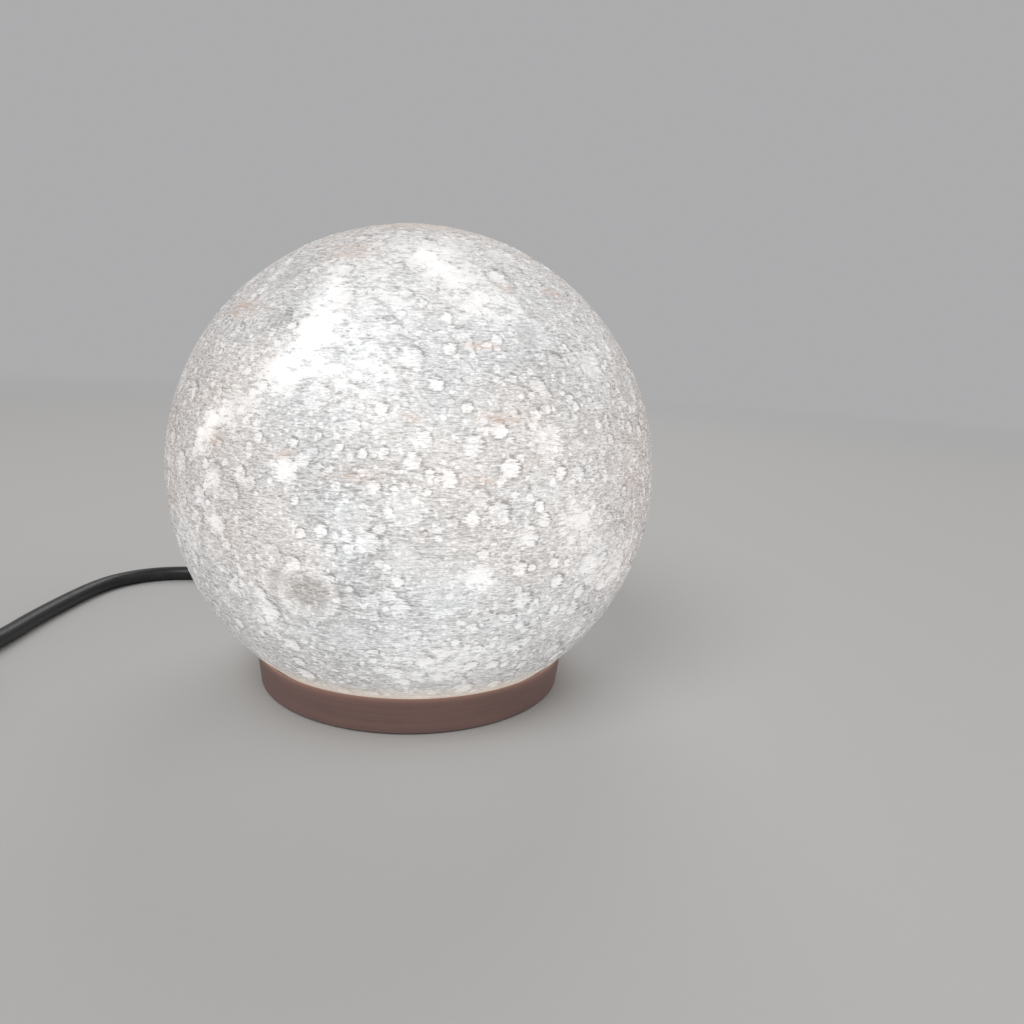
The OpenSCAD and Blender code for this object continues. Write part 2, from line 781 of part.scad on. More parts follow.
module plug_lead() color("#1c1c1e") {
    tube(concat([coil_end], PLUG_ROUTE, [tail_end]), cord_r, sides, coil_t1, [0, 1, 0]);
}

// ---- Plug ----

module at_plug() {
    translate([plug_at[0], plug_at[1], plug_z]) rotate([0, 0, 90]) children();
}

// Half width of the plug, back from its face: straight, then drawn in to the tail
function plug_half(x) =
    let (t = max(0, min(1, (x - plug_straight) / (plug_len - plug_straight))))
    plug_w / 2 + (plug_rear_w - plug_w) / 2 * (1 - cos(180 * t)) / 2;

module plug_plan() {
    steps = 12;
    side = [for (i = [0:steps]) let (x = i * plug_len / steps) [-x, plug_half(x)]];
    polygon(concat(side, [for (i = [steps:-1:0]) [side[i][0], -side[i][1]]]));
}

module plug_section() {
    w = plug_w / 2 - plug_round;
    t = plug_t / 2 - plug_round;
    square([plug_t, 2 * w], center = true);
    square([2 * t, plug_w], center = true);
    for (a = [-1, 1], b = [-1, 1]) translate([a * t, b * w]) circle(r = plug_round);
}

module plug_body() color("#1a1a1c") {
    rib = tail_len / tail_ribs;
    at_plug() union() {
        intersection() {
            translate([0, 0, -plug_t / 2]) linear_extrude(plug_t) plug_plan();
            translate([-plug_len, 0, 0]) rotate([0, 90, 0])
                linear_extrude(plug_len) plug_section();
            translate([0, plug_w, 0]) rotate([90, 0, 0]) linear_extrude(2 * plug_w) polygon([
                [0, -plug_t / 2], [0, plug_t / 2], [-plug_straight, plug_t / 2],
                [-plug_len, plug_rear_t / 2], [-plug_len, -plug_rear_t / 2],
                [-plug_straight, -plug_t / 2]
            ]);
        }
        translate([-plug_len + eps, 0, 0]) rotate([0, -90, 0]) rotate_extrude() polygon(concat(
            [[0, 0]],
            [for (i = [0:tail_ribs - 1]) let (
                    r = tail_r0 + (tail_r1 - tail_r0) * i / (tail_ribs - 1), z = i * rib)
                each [[r, z], [r, z + rib * 0.6], [cord_r + 0.3, z + rib * 0.65],
                      [cord_r + 0.3, z + rib]]],
            [[0, tail_len + eps]]
        ));
    }
}

module pin_places() {
    for (s = [-1, 1]) translate([0, s * pin_pitch / 2, 0]) rotate([0, 90, 0]) children();
}

module plug_pins() color("#b9bcc0") {
    r = pin_d / 2;
    at_plug() pin_places() {
        cylinder(r = pin_core_r, h = sleeve_len + eps);
        translate([0, 0, sleeve_len]) cylinder(r = r, h = pin_len - sleeve_len - r);
        translate([0, 0, pin_len - r]) sphere(r = r);
    }
}

module pin_sleeves() color("#1a1a1c") {
    at_plug() pin_places() difference() {
        cylinder(r = sleeve_r, h = sleeve_len);
        translate([0, 0, -1]) cylinder(r = pin_core_r + core_gap, h = sleeve_len + 2);
    }
}

base_tray();
rubber_feet();
cord_grommet();
lead_in();
clamp_bar();
clamp_screws();
wire_live();
wire_neutral();
holder_body();
holder_screws();
live_contact();
neutral_contact();
screw_shell();
terminal_screws();
moon_globe();
bulb_contact();
bulb_insulator();
bulb_cap();
bulb_housing();
driver_board();
led_board();
leds();
bulb_diffuser();
lamp_lead();
switch_bottom();
switch_top();
switch_screws();
switch_contacts();
switch_rocker();
coil_lead();
cord_coil();
plug_lead();
plug_body();
plug_pins();
pin_sleeves();
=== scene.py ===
import math
import random

import bmesh
import bpy
import numpy as np
from bpy.props import FloatProperty, FloatVectorProperty, IntProperty, PointerProperty
from mathutils import Matrix, Vector


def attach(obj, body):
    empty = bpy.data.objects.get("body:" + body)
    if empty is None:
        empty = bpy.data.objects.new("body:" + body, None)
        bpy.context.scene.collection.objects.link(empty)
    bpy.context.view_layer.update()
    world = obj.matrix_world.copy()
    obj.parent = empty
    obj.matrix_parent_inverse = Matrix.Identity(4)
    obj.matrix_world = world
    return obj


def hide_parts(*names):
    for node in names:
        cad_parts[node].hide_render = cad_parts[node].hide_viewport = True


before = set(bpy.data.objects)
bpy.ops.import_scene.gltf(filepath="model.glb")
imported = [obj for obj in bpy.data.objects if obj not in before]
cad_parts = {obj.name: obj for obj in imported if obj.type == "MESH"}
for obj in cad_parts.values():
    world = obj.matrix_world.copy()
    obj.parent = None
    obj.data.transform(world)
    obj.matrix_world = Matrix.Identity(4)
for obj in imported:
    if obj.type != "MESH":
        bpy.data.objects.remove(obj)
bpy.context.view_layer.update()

bl_info = {
    "name": "Moon Lamp",
    "version": (1, 0, 0),
    "blender": (4, 5, 0),
    "location": "View3D > Sidebar > Moon Lamp",
    "description": "Builds a lit moon lamp on its ring base, with its bulb, holder and mains lead",
    "category": "Object",
}

# ---- Sizes shared with the solid model, in metres ----

MM = 0.001
GLOBE_R = 0.075
GLOBE_WALL = 0.0024
GLOBE_Z = 0.067615
RIM_Z = 0.010
BASE_TOP = 0.0114
LEAD_D = 0.0058
EXIT_TURN = math.atan2(4, -3)
EXIT_Z = 0.006
RELIEF_START = 0.0505
RELIEF_END = 0.075

# Free lead from the strain relief to the switch
LAMP_ROUTE = [
    (-0.045, 0.060, 0.006), (-0.0492, 0.0656, 0.0058), (-0.055, 0.073, 0.0049),
    (-0.062, 0.081, 0.0037), (-0.070, 0.088, 0.003), (-0.080, 0.0935, 0.00295),
    (-0.091, 0.0965, 0.00295), (-0.103, 0.0968, 0.00295), (-0.113, 0.0945, 0.00295),
    (-0.121, 0.0895, 0.00295), (-0.1275, 0.0815, 0.00295), (-0.1315, 0.071, 0.00295),
    (-0.134, 0.059, 0.00295), (-0.136, 0.046, 0.00295), (-0.1375, 0.033, 0.00295),
    (-0.1383, 0.021, 0.003), (-0.1393, 0.009, 0.0035), (-0.141, -0.003, 0.0048),
    (-0.1425, -0.014, 0.0065), (-0.143, -0.022, 0.007),
]
# Lead from the switch to the coil
SWITCH_ROUTE = [
    (-0.143, -0.080, 0.007), (-0.1432, -0.088, 0.0063), (-0.146, -0.098, 0.0048),
    (-0.152, -0.107, 0.0036), (-0.161, -0.114, 0.003), (-0.172, -0.1177, 0.00295),
    (-0.184, -0.1187, 0.00295),
]
# Lead from the coil to the tail of the plug
PLUG_ROUTE = [(-0.235, -0.0345, 0.0083), (-0.232, -0.0255, 0.0073), (-0.231, -0.016, 0.0069)]
SWITCH_AT = (-0.143, -0.051)
THREAD_PITCH = 2.82
COIL_MIDDLE = (-0.206, -0.0735)
COIL_R = 0.0445
COIL_PITCH = 0.0066
COIL_STEP = 0.0064
COIL_TURNS = 19 / 3
COIL_CLIMB = 0.25
COIL_FIRST = -90
LEAD_Z = 0.00295

# Where the camera stood, and its right, up and forward directions
CAMERA_AT = (0.0, -0.249116, 0.105380)
CAMERA_RIGHT = (0.99200912, -0.11523722, 0.05136425)
CAMERA_UP = (-0.02710619, 0.20294257, 0.97881539)
CAMERA_FORWARD = (0.12321995, 0.97238609, -0.19819723)
CAMERA_LENS = 27.0395

# Craters that show plainly on the front: longitude, latitude, radius in mm, light of the
# floor, light of the rim
FRONT_CRATERS = [
    (-84, 31, 1.9, 0.5, -0.22), (-87, 24, 2.1, 0.5, -0.14), (-92, 29, 3, 0.36, -0.06),
    (-102, 28, 3.7, 0.2, 0.16), (-97, 19, 1.7, 0.5, -0.2), (-101, 19, 1.4, 0.4, -0.14),
    (-75, 16, 2.3, 0.5, -0.22), (-67, 19, 1.8, 0.45, -0.2), (-65, 14, 4.3, 0.32, 0.2),
    (-73, 9, 2.8, 0.5, -0.3), (-62, 8, 1.8, 0.5, -0.24), (-92, 2, 3.9, 0.22, 0.36),
    (-95, 1, 1.4, 0.5, -0.05), (-101, 0, 3.6, 0.14, 0.32), (-102, 0, 1.1, -0.3, 0),
    (-107, -3, 1.8, 0.55, -0.2), (-111, -4, 1.5, 0.5, -0.18), (-102, -6, 1.5, 0.5, -0.16),
    (-111, -16, 5.6, -0.26, 0.05), (-80, 0, 2.1, 0.5, -0.14), (-78, -11, 3.8, 0.3, -0.04),
    (-70, -10, 2.2, 0.34, -0.22), (-84, -16, 3.6, 0.1, 0.3), (-89, 14, 2, 0.36, -0.1),
    (-91, 10, 2.3, 0.4, -0.1), (-88, 8, 1.4, 0.5, -0.14), (-100, 11, 1.4, 0.45, -0.16),
    (-93, -12, 1.6, 0.42, -0.12), (-67, 2, 1.6, 0.5, -0.2), (-112, 2, 1.3, 0.5, -0.16),
    (-113, 12, 1.4, 0.45, -0.2), (-80, 13, 2.8, 0.3, -0.06), (-134, 2, 1.2, 0.5, -0.1),
    (-81, 20, 1.6, 0.45, -0.2), (-113, -10, 2.1, 0.4, -0.04), (-87, -32, 2.5, 0.4, -0.04),
    (-70, -35, 2.1, 0.4, -0.04), (-98, -35, 1.8, 0.4, -0.04), (-98, 34, 4, 0.04, -0.2),
    (-81, 34, 2.6, 0.1, -0.16), (-95, 38, 1.6, 0.2, -0.12), (-90, 41, 1.4, 0.22, -0.12),
    (-124, 36, 2.9, -0.26, 0.02),
]
# Soft rings around worn craters: longitude, latitude, radius and half width in mm, light
RINGS = [
    (-111, -16, 7.4, 0.9, 0.24), (-111, -16, 9.2, 0.9, -0.16),
]
# Bright and dark patches with soft edges: longitude, latitude, radius in mm, light
PATCHES = [
    (-115, 51, 2.6, 0.6), (-114, 46, 3.4, 0.7), (-113, 41, 4.2, 0.75), (-114, 36, 4.8, 0.75),
    (-114, 32, 5.4, 0.75), (-116, 28, 5.6, 0.7), (-118, 25, 4.8, 0.55), (-121, 22, 3.8, 0.5),
    (-125, 20, 3, 0.5), (-109, 33, 8.5, 0.42), (-103, 27, 9, 0.28), (-97, 41, 9, 0.32),
    (-77, 42, 8, 0.3), (-87, 55, 4.5, 0.9), (-82, 49, 6.2, 0.5), (-72, 43, 7.4, 0.3),
    (-60, 36, 10, -0.06), (-135, 14, 3.2, 1.4), (-131, 16, 2.3, 0.7), (-122, 15, 2.6, 0.7),
    (-137, 10, 3.6, 0.8), (-115, 8, 2, 0.7), (-146, -11, 9, 0.26), (-126, -20, 8, 0.12),
    (-39, -13, 9, 0.32), (-86, 58, 9, 0.48), (-100, 52, 10, 0.22), (-132, 3, 3, 0.5),
    (-132, -4, 2.6, 0.3), (-100, 24, 10, 0.26), (-92, 14, 9, 0.12), (-58, -1, 6.5, 0.34),
    (-78, -11, 7.2, 0.3), (-85, -33, 10.3, 0.38), (-72, -30, 7, 0.2), (-106, -6, 6, 0.14),
    (-62, -22, 9, 0.16), (-120, -24, 8, 0.2), (-124, 35, 7, -0.16), (-130, 46, 8, -0.12),
    (-111, -16, 9, -0.1), (-98, -12, 11, -0.1), (-66, 24, 14, -0.08), (-90, 42, 5, -0.2),
    (-98, 8, 8, -0.08), (-52, -8, 9, 0.14), (-96, -28, 10, 0.06), (-50, -13, 8, 0.2),
    (-6, 30, 9, 0.4), (6, -14, 11, 0.35), (5, 40, 10, 0.5), (12, 8, 12, -0.14), (38, -20, 9, 0.4),
    (50, 24, 12, 0.4), (75, -2, 13, -0.16), (92, 46, 10, 0.6), (104, -24, 9, 0.4),
    (125, 12, 12, 0.35), (148, 44, 12, -0.14), (160, -6, 10, 0.5), (-172, 28, 11, 0.45),
    (-160, -28, 10, 0.3), (-153, 4, 8, 0.16), (30, 62, 9, 0.35),
]
# Brown streaks of the print: longitude, latitude, half length and half height in mm, strength
STAINS = [
    (-141, 38, 6.5, 2.6, 0.9), (-132, 11, 3, 2.2, 0.7), (-77, 32, 3.6, 1, 1),
    (-66, 47, 3.2, 1, 0.8), (-48, 47, 4, 1.3, 0.9), (-74, 18, 6, 1.2, 0.8),
    (-69, 10, 2.4, 1.2, 0.8), (-91, 18, 2.2, 1.2, 0.7), (-115, 10, 3.4, 1.3, 0.6),
    (-101, 7, 7, 1.3, 0.5), (-78, 7, 5, 1.2, 0.6), (-117, 56, 6, 2.6, 0.6), (-40, 5, 4, 1.2, 0.6),
    (-10, 22, 5, 1.2, 0.7), (25, -8, 6, 1.3, 0.6), (60, 30, 5, 1.4, 0.7), (95, 4, 4, 1.2, 0.7),
    (130, 38, 6, 1.6, 0.6), (165, -12, 4, 1.2, 0.7), (-165, 15, 5, 1.3, 0.7),
]


# ---- Settings that a user would change ----


class MoonLampGlobeSettings(bpy.types.PropertyGroup):
    """Sizes and light of the globe."""

    crater_count: IntProperty(
        name="Craters", description="Craters spread over the globe", default=1200, min=0
    )
    relief: FloatProperty(
        name="Relief",
        description="Greatest depth of a crater below the globe's surface",
        default=0.00045,
        unit="LENGTH",
    )
    glow: FloatProperty(
        name="Glow", description="Strength of the light through the wall", default=1.27, min=0.0
    )
    plastic: FloatVectorProperty(
        name="Plastic",
        description="Colour of the globe's plastic",
        default=(0.34, 0.338, 0.335),
        subtype="COLOR",
    )


class MoonLampBaseSettings(bpy.types.PropertyGroup):
    """Colour and layer lines of the printed base."""

    plastic: FloatVectorProperty(
        name="Plastic",
        description="Colour of the base's plastic",
        default=(0.197, 0.120, 0.106),
        subtype="COLOR",
    )
    layer_height: FloatProperty(
        name="Layer height",
        description="Height of one printed layer",
        default=0.0005,
        unit="LENGTH",
    )


class MoonLampLeadSettings(bpy.types.PropertyGroup):
    """Thickness and colour of the mains lead."""

    diameter: FloatProperty(
        name="Diameter", description="Diameter of the lead", default=LEAD_D, unit="LENGTH"
    )
    sheath: FloatVectorProperty(
        name="Sheath", description="Colour of the lead", default=(0.014, 0.014, 0.016),
        subtype="COLOR",
    )


class MoonLampStageSettings(bpy.types.PropertyGroup):
    """Colours of the floor and the backdrop."""

    floor: FloatVectorProperty(
        name="Floor", description="Colour of the floor", default=(0.475, 0.468, 0.460),
        subtype="COLOR",
    )
    backdrop: FloatVectorProperty(
        name="Backdrop", description="Colour behind the lamp", default=(0.415, 0.415, 0.422),
        subtype="COLOR",
    )


# ---- Meshes ----


def add_mesh(name, points, faces, crease=40):
    data = bpy.data.meshes.new(name)
    data.from_pydata([tuple(p) for p in points], [], faces)
    data.update()
    shape = bmesh.new()
    shape.from_mesh(data)
    bmesh.ops.recalc_face_normals(shape, faces=shape.faces)
    shape.to_mesh(data)
    shape.free()
    data.shade_smooth()
    data.set_sharp_from_angle(angle=math.radians(crease))
    piece = bpy.data.objects.new(name, data)
    bpy.context.scene.collection.objects.link(piece)
    return piece


def band(lower, upper):
    """Faces between two rings of points, of which one may have half the points or one alone."""
    if len(lower) < len(upper):
        return [tuple(reversed(f)) for f in band(upper, lower)]
    n = len(lower)
    if len(upper) == 1:
        return [(lower[i], lower[(i + 1) % n], upper[0]) for i in range(n)]
    if len(upper) == n:
        return [
            (lower[i], lower[(i + 1) % n], upper[(i + 1) % n], upper[i]) for i in range(n)
        ]
    faces = []
    half = len(upper)
    for i in range(half):
        a, b, c = lower[2 * i], lower[2 * i + 1], lower[(2 * i + 2) % n]
        p, q = upper[i], upper[(i + 1) % half]
        faces.extend([(a, b, p), (b, q, p), (b, c, q)])
    return faces


def turned_mesh(profile, sides, closed=False):
    """Points and faces of a profile of (radius, height) turned round the Z axis."""
    points = []
    rings = []
    for radius, height in profile:
        first = len(points)
        if radius < 1e-7:
            points.append((0.0, 0.0, height))
            rings.append([first])
            continue
        for k in range(sides):
            turn = 2 * math.pi * k / sides
            points.append((radius * math.cos(turn), radius * math.sin(turn), height))
        rings.append(list(range(first, first + sides)))
    pairs = list(zip(rings, rings[1:]))
    if closed:
        pairs.append((rings[-1], rings[0]))
    faces = []
    for lower, upper in pairs:
        faces.extend(band(lower, upper))
    return points, faces


def turned(name, profile, sides=96, closed=False, place=None, crease=40):
    """A turned piece, set by place, a matrix from its own axis to the lamp's frame."""
    points, faces = turned_mesh(profile, sides, closed)
    if place is not None:
        points = [place @ Vector(p) for p in points]
    return add_mesh(name, points, faces, crease)


def smooth_step(low, high, x):
    t = np.clip((x - low) / (high - low), 0.0, 1.0)
    return t * t * (3 - 2 * t)


def through(points, steps):
    """A smooth line through points, with steps pieces between two of them."""
    line = []
    last = len(points) - 1
    for i in range(last):
        a = Vector(points[max(i - 1, 0)])
        b = Vector(points[i])
        c = Vector(points[i + 1])
        d = Vector(points[min(i + 2, last)])
        for k in range(steps):
            t = k / steps
            line.append(
                0.5 * (2 * b + (c - a) * t + (2 * a - 5 * b + 4 * c - d) * t * t
                       + (3 * b - 3 * c + d - a) * t ** 3)
            )
    line.append(Vector(points[last]))
    return line


def rounded(corners, steps=3, closed=False):
    """A profile through corners (radius, height, rounding), in mm, returned in metres."""
    line = []
    last = len(corners) - 1
    for i, (x, y, rounding) in enumerate(corners):
        here = Vector((x, y))
        if rounding <= 0 or (not closed and i in (0, last)):
            line.append(here * MM)
            continue
        before = Vector(corners[i - 1][:2]) - here
        after = Vector(corners[(i + 1) % (last + 1)][:2]) - here
        cut = min(rounding, 0.49 * before.length, 0.49 * after.length)
        start = here + before.normalized() * cut
        end = here + after.normalized() * cut
        for k in range(steps + 1):
            t = k / steps
            line.append(((1 - t) ** 2 * start + 2 * t * (1 - t) * here + t * t * end) * MM)
    return [tuple(p) for p in line]


def tube(line, radius, sides=12):
    """Points and faces of a round bar along a line, closed at both ends."""
    points = []
    rings = []
    last = len(line) - 1
    for i, place in enumerate(line):
        way = (line[min(i + 1, last)] - line[max(i - 1, 0)]).normalized()
        side = way.cross(Vector((0.0, 0.0, 1.0))).normalized()
        up = side.cross(way)
        rings.append(list(range(len(points), len(points) + sides)))
        for k in range(sides):
            turn = 2 * math.pi * k / sides
            points.append(place + radius * (math.cos(turn) * side + math.sin(turn) * up))
    faces = [tuple(rings[0]), tuple(reversed(rings[-1]))]
    for lower, upper in zip(rings, rings[1:]):
        faces.extend(band(lower, upper))
    return points, faces


def joined(parts):
    """Points and faces of several meshes as one."""
    points = []
    faces = []
    for part_points, part_faces in parts:
        first = len(points)
        points.extend(part_points)
        faces.extend(tuple(i + first for i in face) for face in part_faces)
    return points, faces


def moved(part, place):
    return [place @ Vector(p) for p in part[0]], part[1]


def block(low, high):
    """Points and faces of a box between two corners."""
    xs, ys, zs = zip(low, high)
    points = [(x, y, z) for z in zs for y in ys for x in xs]
    faces = [(0, 2, 3, 1), (4, 5, 7, 6), (0, 1, 5, 4), (2, 6, 7, 3), (0, 4, 6, 2), (1, 3, 7, 5)]
    return points, faces


def apply_modifiers(piece):
    graph = bpy.context.evaluated_depsgraph_get()
    data = bpy.data.meshes.new_from_object(piece.evaluated_get(graph))
    piece.modifiers.clear()
    old = piece.data
    piece.data = data
    bpy.data.meshes.remove(old)


def softened(name, node, width, wide=0.0, chosen=None):
    """A piece with a node's shape, its edges rounded by width and chosen ones by wide, in mm."""
    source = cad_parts[node]
    shape = bmesh.new()
    shape.from_mesh(source.data)
    bmesh.ops.transform(shape, matrix=source.matrix_world, verts=shape.verts)
    bmesh.ops.remove_doubles(shape, verts=shape.verts, dist=2e-6)
    bmesh.ops.dissolve_limit(
        shape, angle_limit=math.radians(0.3), verts=shape.verts, edges=shape.edges
    )
    if chosen:
        edges = [e for e in shape.edges if e.calc_face_angle(0.0) > 0.5 and chosen(e)]
        bmesh.ops.bevel(
            shape, geom=edges, offset=wide * MM, offset_type="OFFSET", segments=5,
            profile=0.5, affect="EDGES", clamp_overlap=False,
        )
    data = bpy.data.meshes.new(name)
    shape.to_mesh(data)
    shape.free()
    piece = bpy.data.objects.new(name, data)
    bpy.context.scene.collection.objects.link(piece)
    edges = piece.modifiers.new("edges", "BEVEL")
    edges.width = width * MM
    edges.segments = 2
    edges.limit_method = "ANGLE"
    edges.angle_limit = math.radians(30)
    apply_modifiers(piece)
    piece.data.shade_smooth()
    piece.data.set_sharp_from_angle(angle=math.radians(38))
    flats = piece.modifiers.new("flats", "WEIGHTED_NORMAL")
    flats.keep_sharp = True
    apply_modifiers(piece)
    return piece


def along(turn_z):
    """Matrix from a piece's own Z axis to a level axis that points turn_z round from +X."""
    return Matrix.Rotation(turn_z, 4, "Z") @ Matrix.Rotation(math.pi / 2, 4, "Y")


def finish_piece(piece, body, slot, material, *nodes):
    """Gives a piece its material, its body and the solids that it stands for."""
    piece.data.materials.clear()
    piece.data.materials.append(material)
    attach(piece, body)
    if nodes:
        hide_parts(*nodes)
    return piece


# ---- Materials ----


class Finish:
    """The nodes of one material, with short ways to add them."""

    def __init__(self, name, colour, roughness, metallic=0.0, **sockets):
        self.material = bpy.data.materials.new(name)
        self.material.use_nodes = True
        self.tree = self.material.node_tree
        self.shader = self.tree.nodes["Principled BSDF"]
        self.set("Base Color", (*colour, 1.0))
        self.set("Roughness", roughness)
        self.set("Metallic", metallic)
        for socket, value in sockets.items():
            self.set(socket.replace("_", " "), value)
        self.where = self.tree.nodes.new("ShaderNodeTexCoord").outputs["Object"]

    def set(self, socket, value):
        if isinstance(value, bpy.types.NodeSocket):
            self.tree.links.new(value, self.shader.inputs[socket])
        else:
            self.shader.inputs[socket].default_value = value

    def node(self, kind, inputs, output=0, **settings):
        made = self.tree.nodes.new(kind)
        for setting, value in settings.items():
            setattr(made, setting, value)
        for socket, value in inputs.items():
            if isinstance(value, bpy.types.NodeSocket):
                self.tree.links.new(value, made.inputs[socket])
            else:
                made.inputs[socket].default_value = value
        return made.outputs[output]

    def sum(self, a, b, operation="ADD", clamp=False):
        return self.node("ShaderNodeMath", {0: a, 1: b}, operation=operation, use_clamp=clamp)

    def times(self, a, b):
        return self.sum(a, b, "MULTIPLY")

    def warp(self, reach, scale):
        """Shifts the place that later grain and spots read, by up to half of reach metres."""
        inputs = {"Vector": self.where, "Scale": scale, "Detail": 2.0}
        drift = self.node("ShaderNodeTexNoise", inputs, 1)
        drift = self.node(
            "ShaderNodeVectorMath", {0: drift, 1: (0.5, 0.5, 0.5)}, operation="SUBTRACT"
        )
        drift = self.node(
            "ShaderNodeVectorMath", {0: drift, 1: (reach, reach, reach)}, operation="MULTIPLY"
        )
        self.where = self.node("ShaderNodeVectorMath", {0: self.where, 1: drift})

    def scaled(self, stretch):
        return self.node(
            "ShaderNodeVectorMath", {0: self.where, 1: stretch}, operation="MULTIPLY"
        )

    def grain(self, scale, detail=3.0, roughness=0.5, stretch=(1, 1, 1), distortion=0.0):
        """Noise of about one spot in 1 / scale metres."""
        inputs = {
            "Vector": self.scaled(stretch), "Scale": scale, "Detail": detail,
            "Roughness": roughness, "Distortion": distortion,
        }
        return self.node("ShaderNodeTexNoise", inputs)

    def spots(self, scale, shift, least, most):
        """Round spots around scattered points, with radii from least to most of a cell."""
        place = self.node("ShaderNodeVectorMath", {0: self.where, 1: shift})
        reach = self.node("ShaderNodeTexVoronoi", {"Vector": place, "Scale": scale})
        dice = self.node("ShaderNodeSeparateColor", {0: reach.node.outputs["Color"]})
        size = self.remap(dice, 0.0, 1.0, least, most, smooth=False)
        return self.remap(self.sum(reach, size, "DIVIDE"), 0.70, 1.0, 1.0, 0.0)

    def remap(self, value, low, high, to_low=0.0, to_high=1.0, smooth=True):
        kind = "SMOOTHSTEP" if smooth else "LINEAR"
        inputs = {0: value, 1: low, 2: high, 3: to_low, 4: to_high}
        return self.node("ShaderNodeMapRange", inputs, interpolation_type=kind)

    def mix(self, share, a, b, blend="MIX"):
        a = a if isinstance(a, bpy.types.NodeSocket) else (*a, 1.0)
        b = b if isinstance(b, bpy.types.NodeSocket) else (*b, 1.0)
        inputs = {0: share, 6: a, 7: b}
        return self.node("ShaderNodeMix", inputs, 2, data_type="RGBA", blend_type=blend)

    def attribute(self, name):
        return self.node("ShaderNodeAttribute", {}, 2, attribute_name=name)

    def bump(self, height, distance, strength=1.0):
        inputs = {"Height": height, "Distance": distance, "Strength": strength}
        self.set("Normal", self.node("ShaderNodeBump", inputs))


def moulded(name, colour, roughness, grain=1400.0, depth=0.00004, shade=0.12, **sockets):
    """Moulded plastic or rubber: fine grain, a slight change of shade and of gloss."""
    finish = Finish(name, colour, roughness, **sockets)
    soft = finish.grain(90.0, 4.0)
    fine = finish.grain(grain, 2.0)
    pale = tuple(c * (1 + shade) + 0.002 for c in colour)
    deep = tuple(c * (1 - shade) for c in colour)
    finish.set("Base Color", finish.mix(finish.remap(soft, 0.35, 0.65), deep, pale))
    finish.set("Roughness", finish.remap(soft, 0.3, 0.7, roughness * 0.88, roughness * 1.12))
    finish.bump(fine, depth)
    return finish.material


def plated(name, colour, roughness, stretch=(1, 1, 1), dull=0.5):
    """Plated or drawn metal: faint streaks, and dull specks where the plating is worn."""
    finish = Finish(name, colour, roughness, 1.0)
    streaks = finish.grain(700.0, 3.0, stretch=stretch)
    specks = finish.remap(finish.grain(420.0, 5.0, 0.6), 0.56, 0.68)
    worn = tuple(c * 0.62 for c in colour)
    finish.set("Base Color", finish.mix(finish.times(specks, dull), colour, worn))
    gloss = finish.remap(streaks, 0.3, 0.7, roughness * 0.75, roughness * 1.35)
    finish.set("Roughness", finish.sum(gloss, finish.times(specks, 0.15)))
    finish.bump(streaks, 0.00002)
    return finish.material


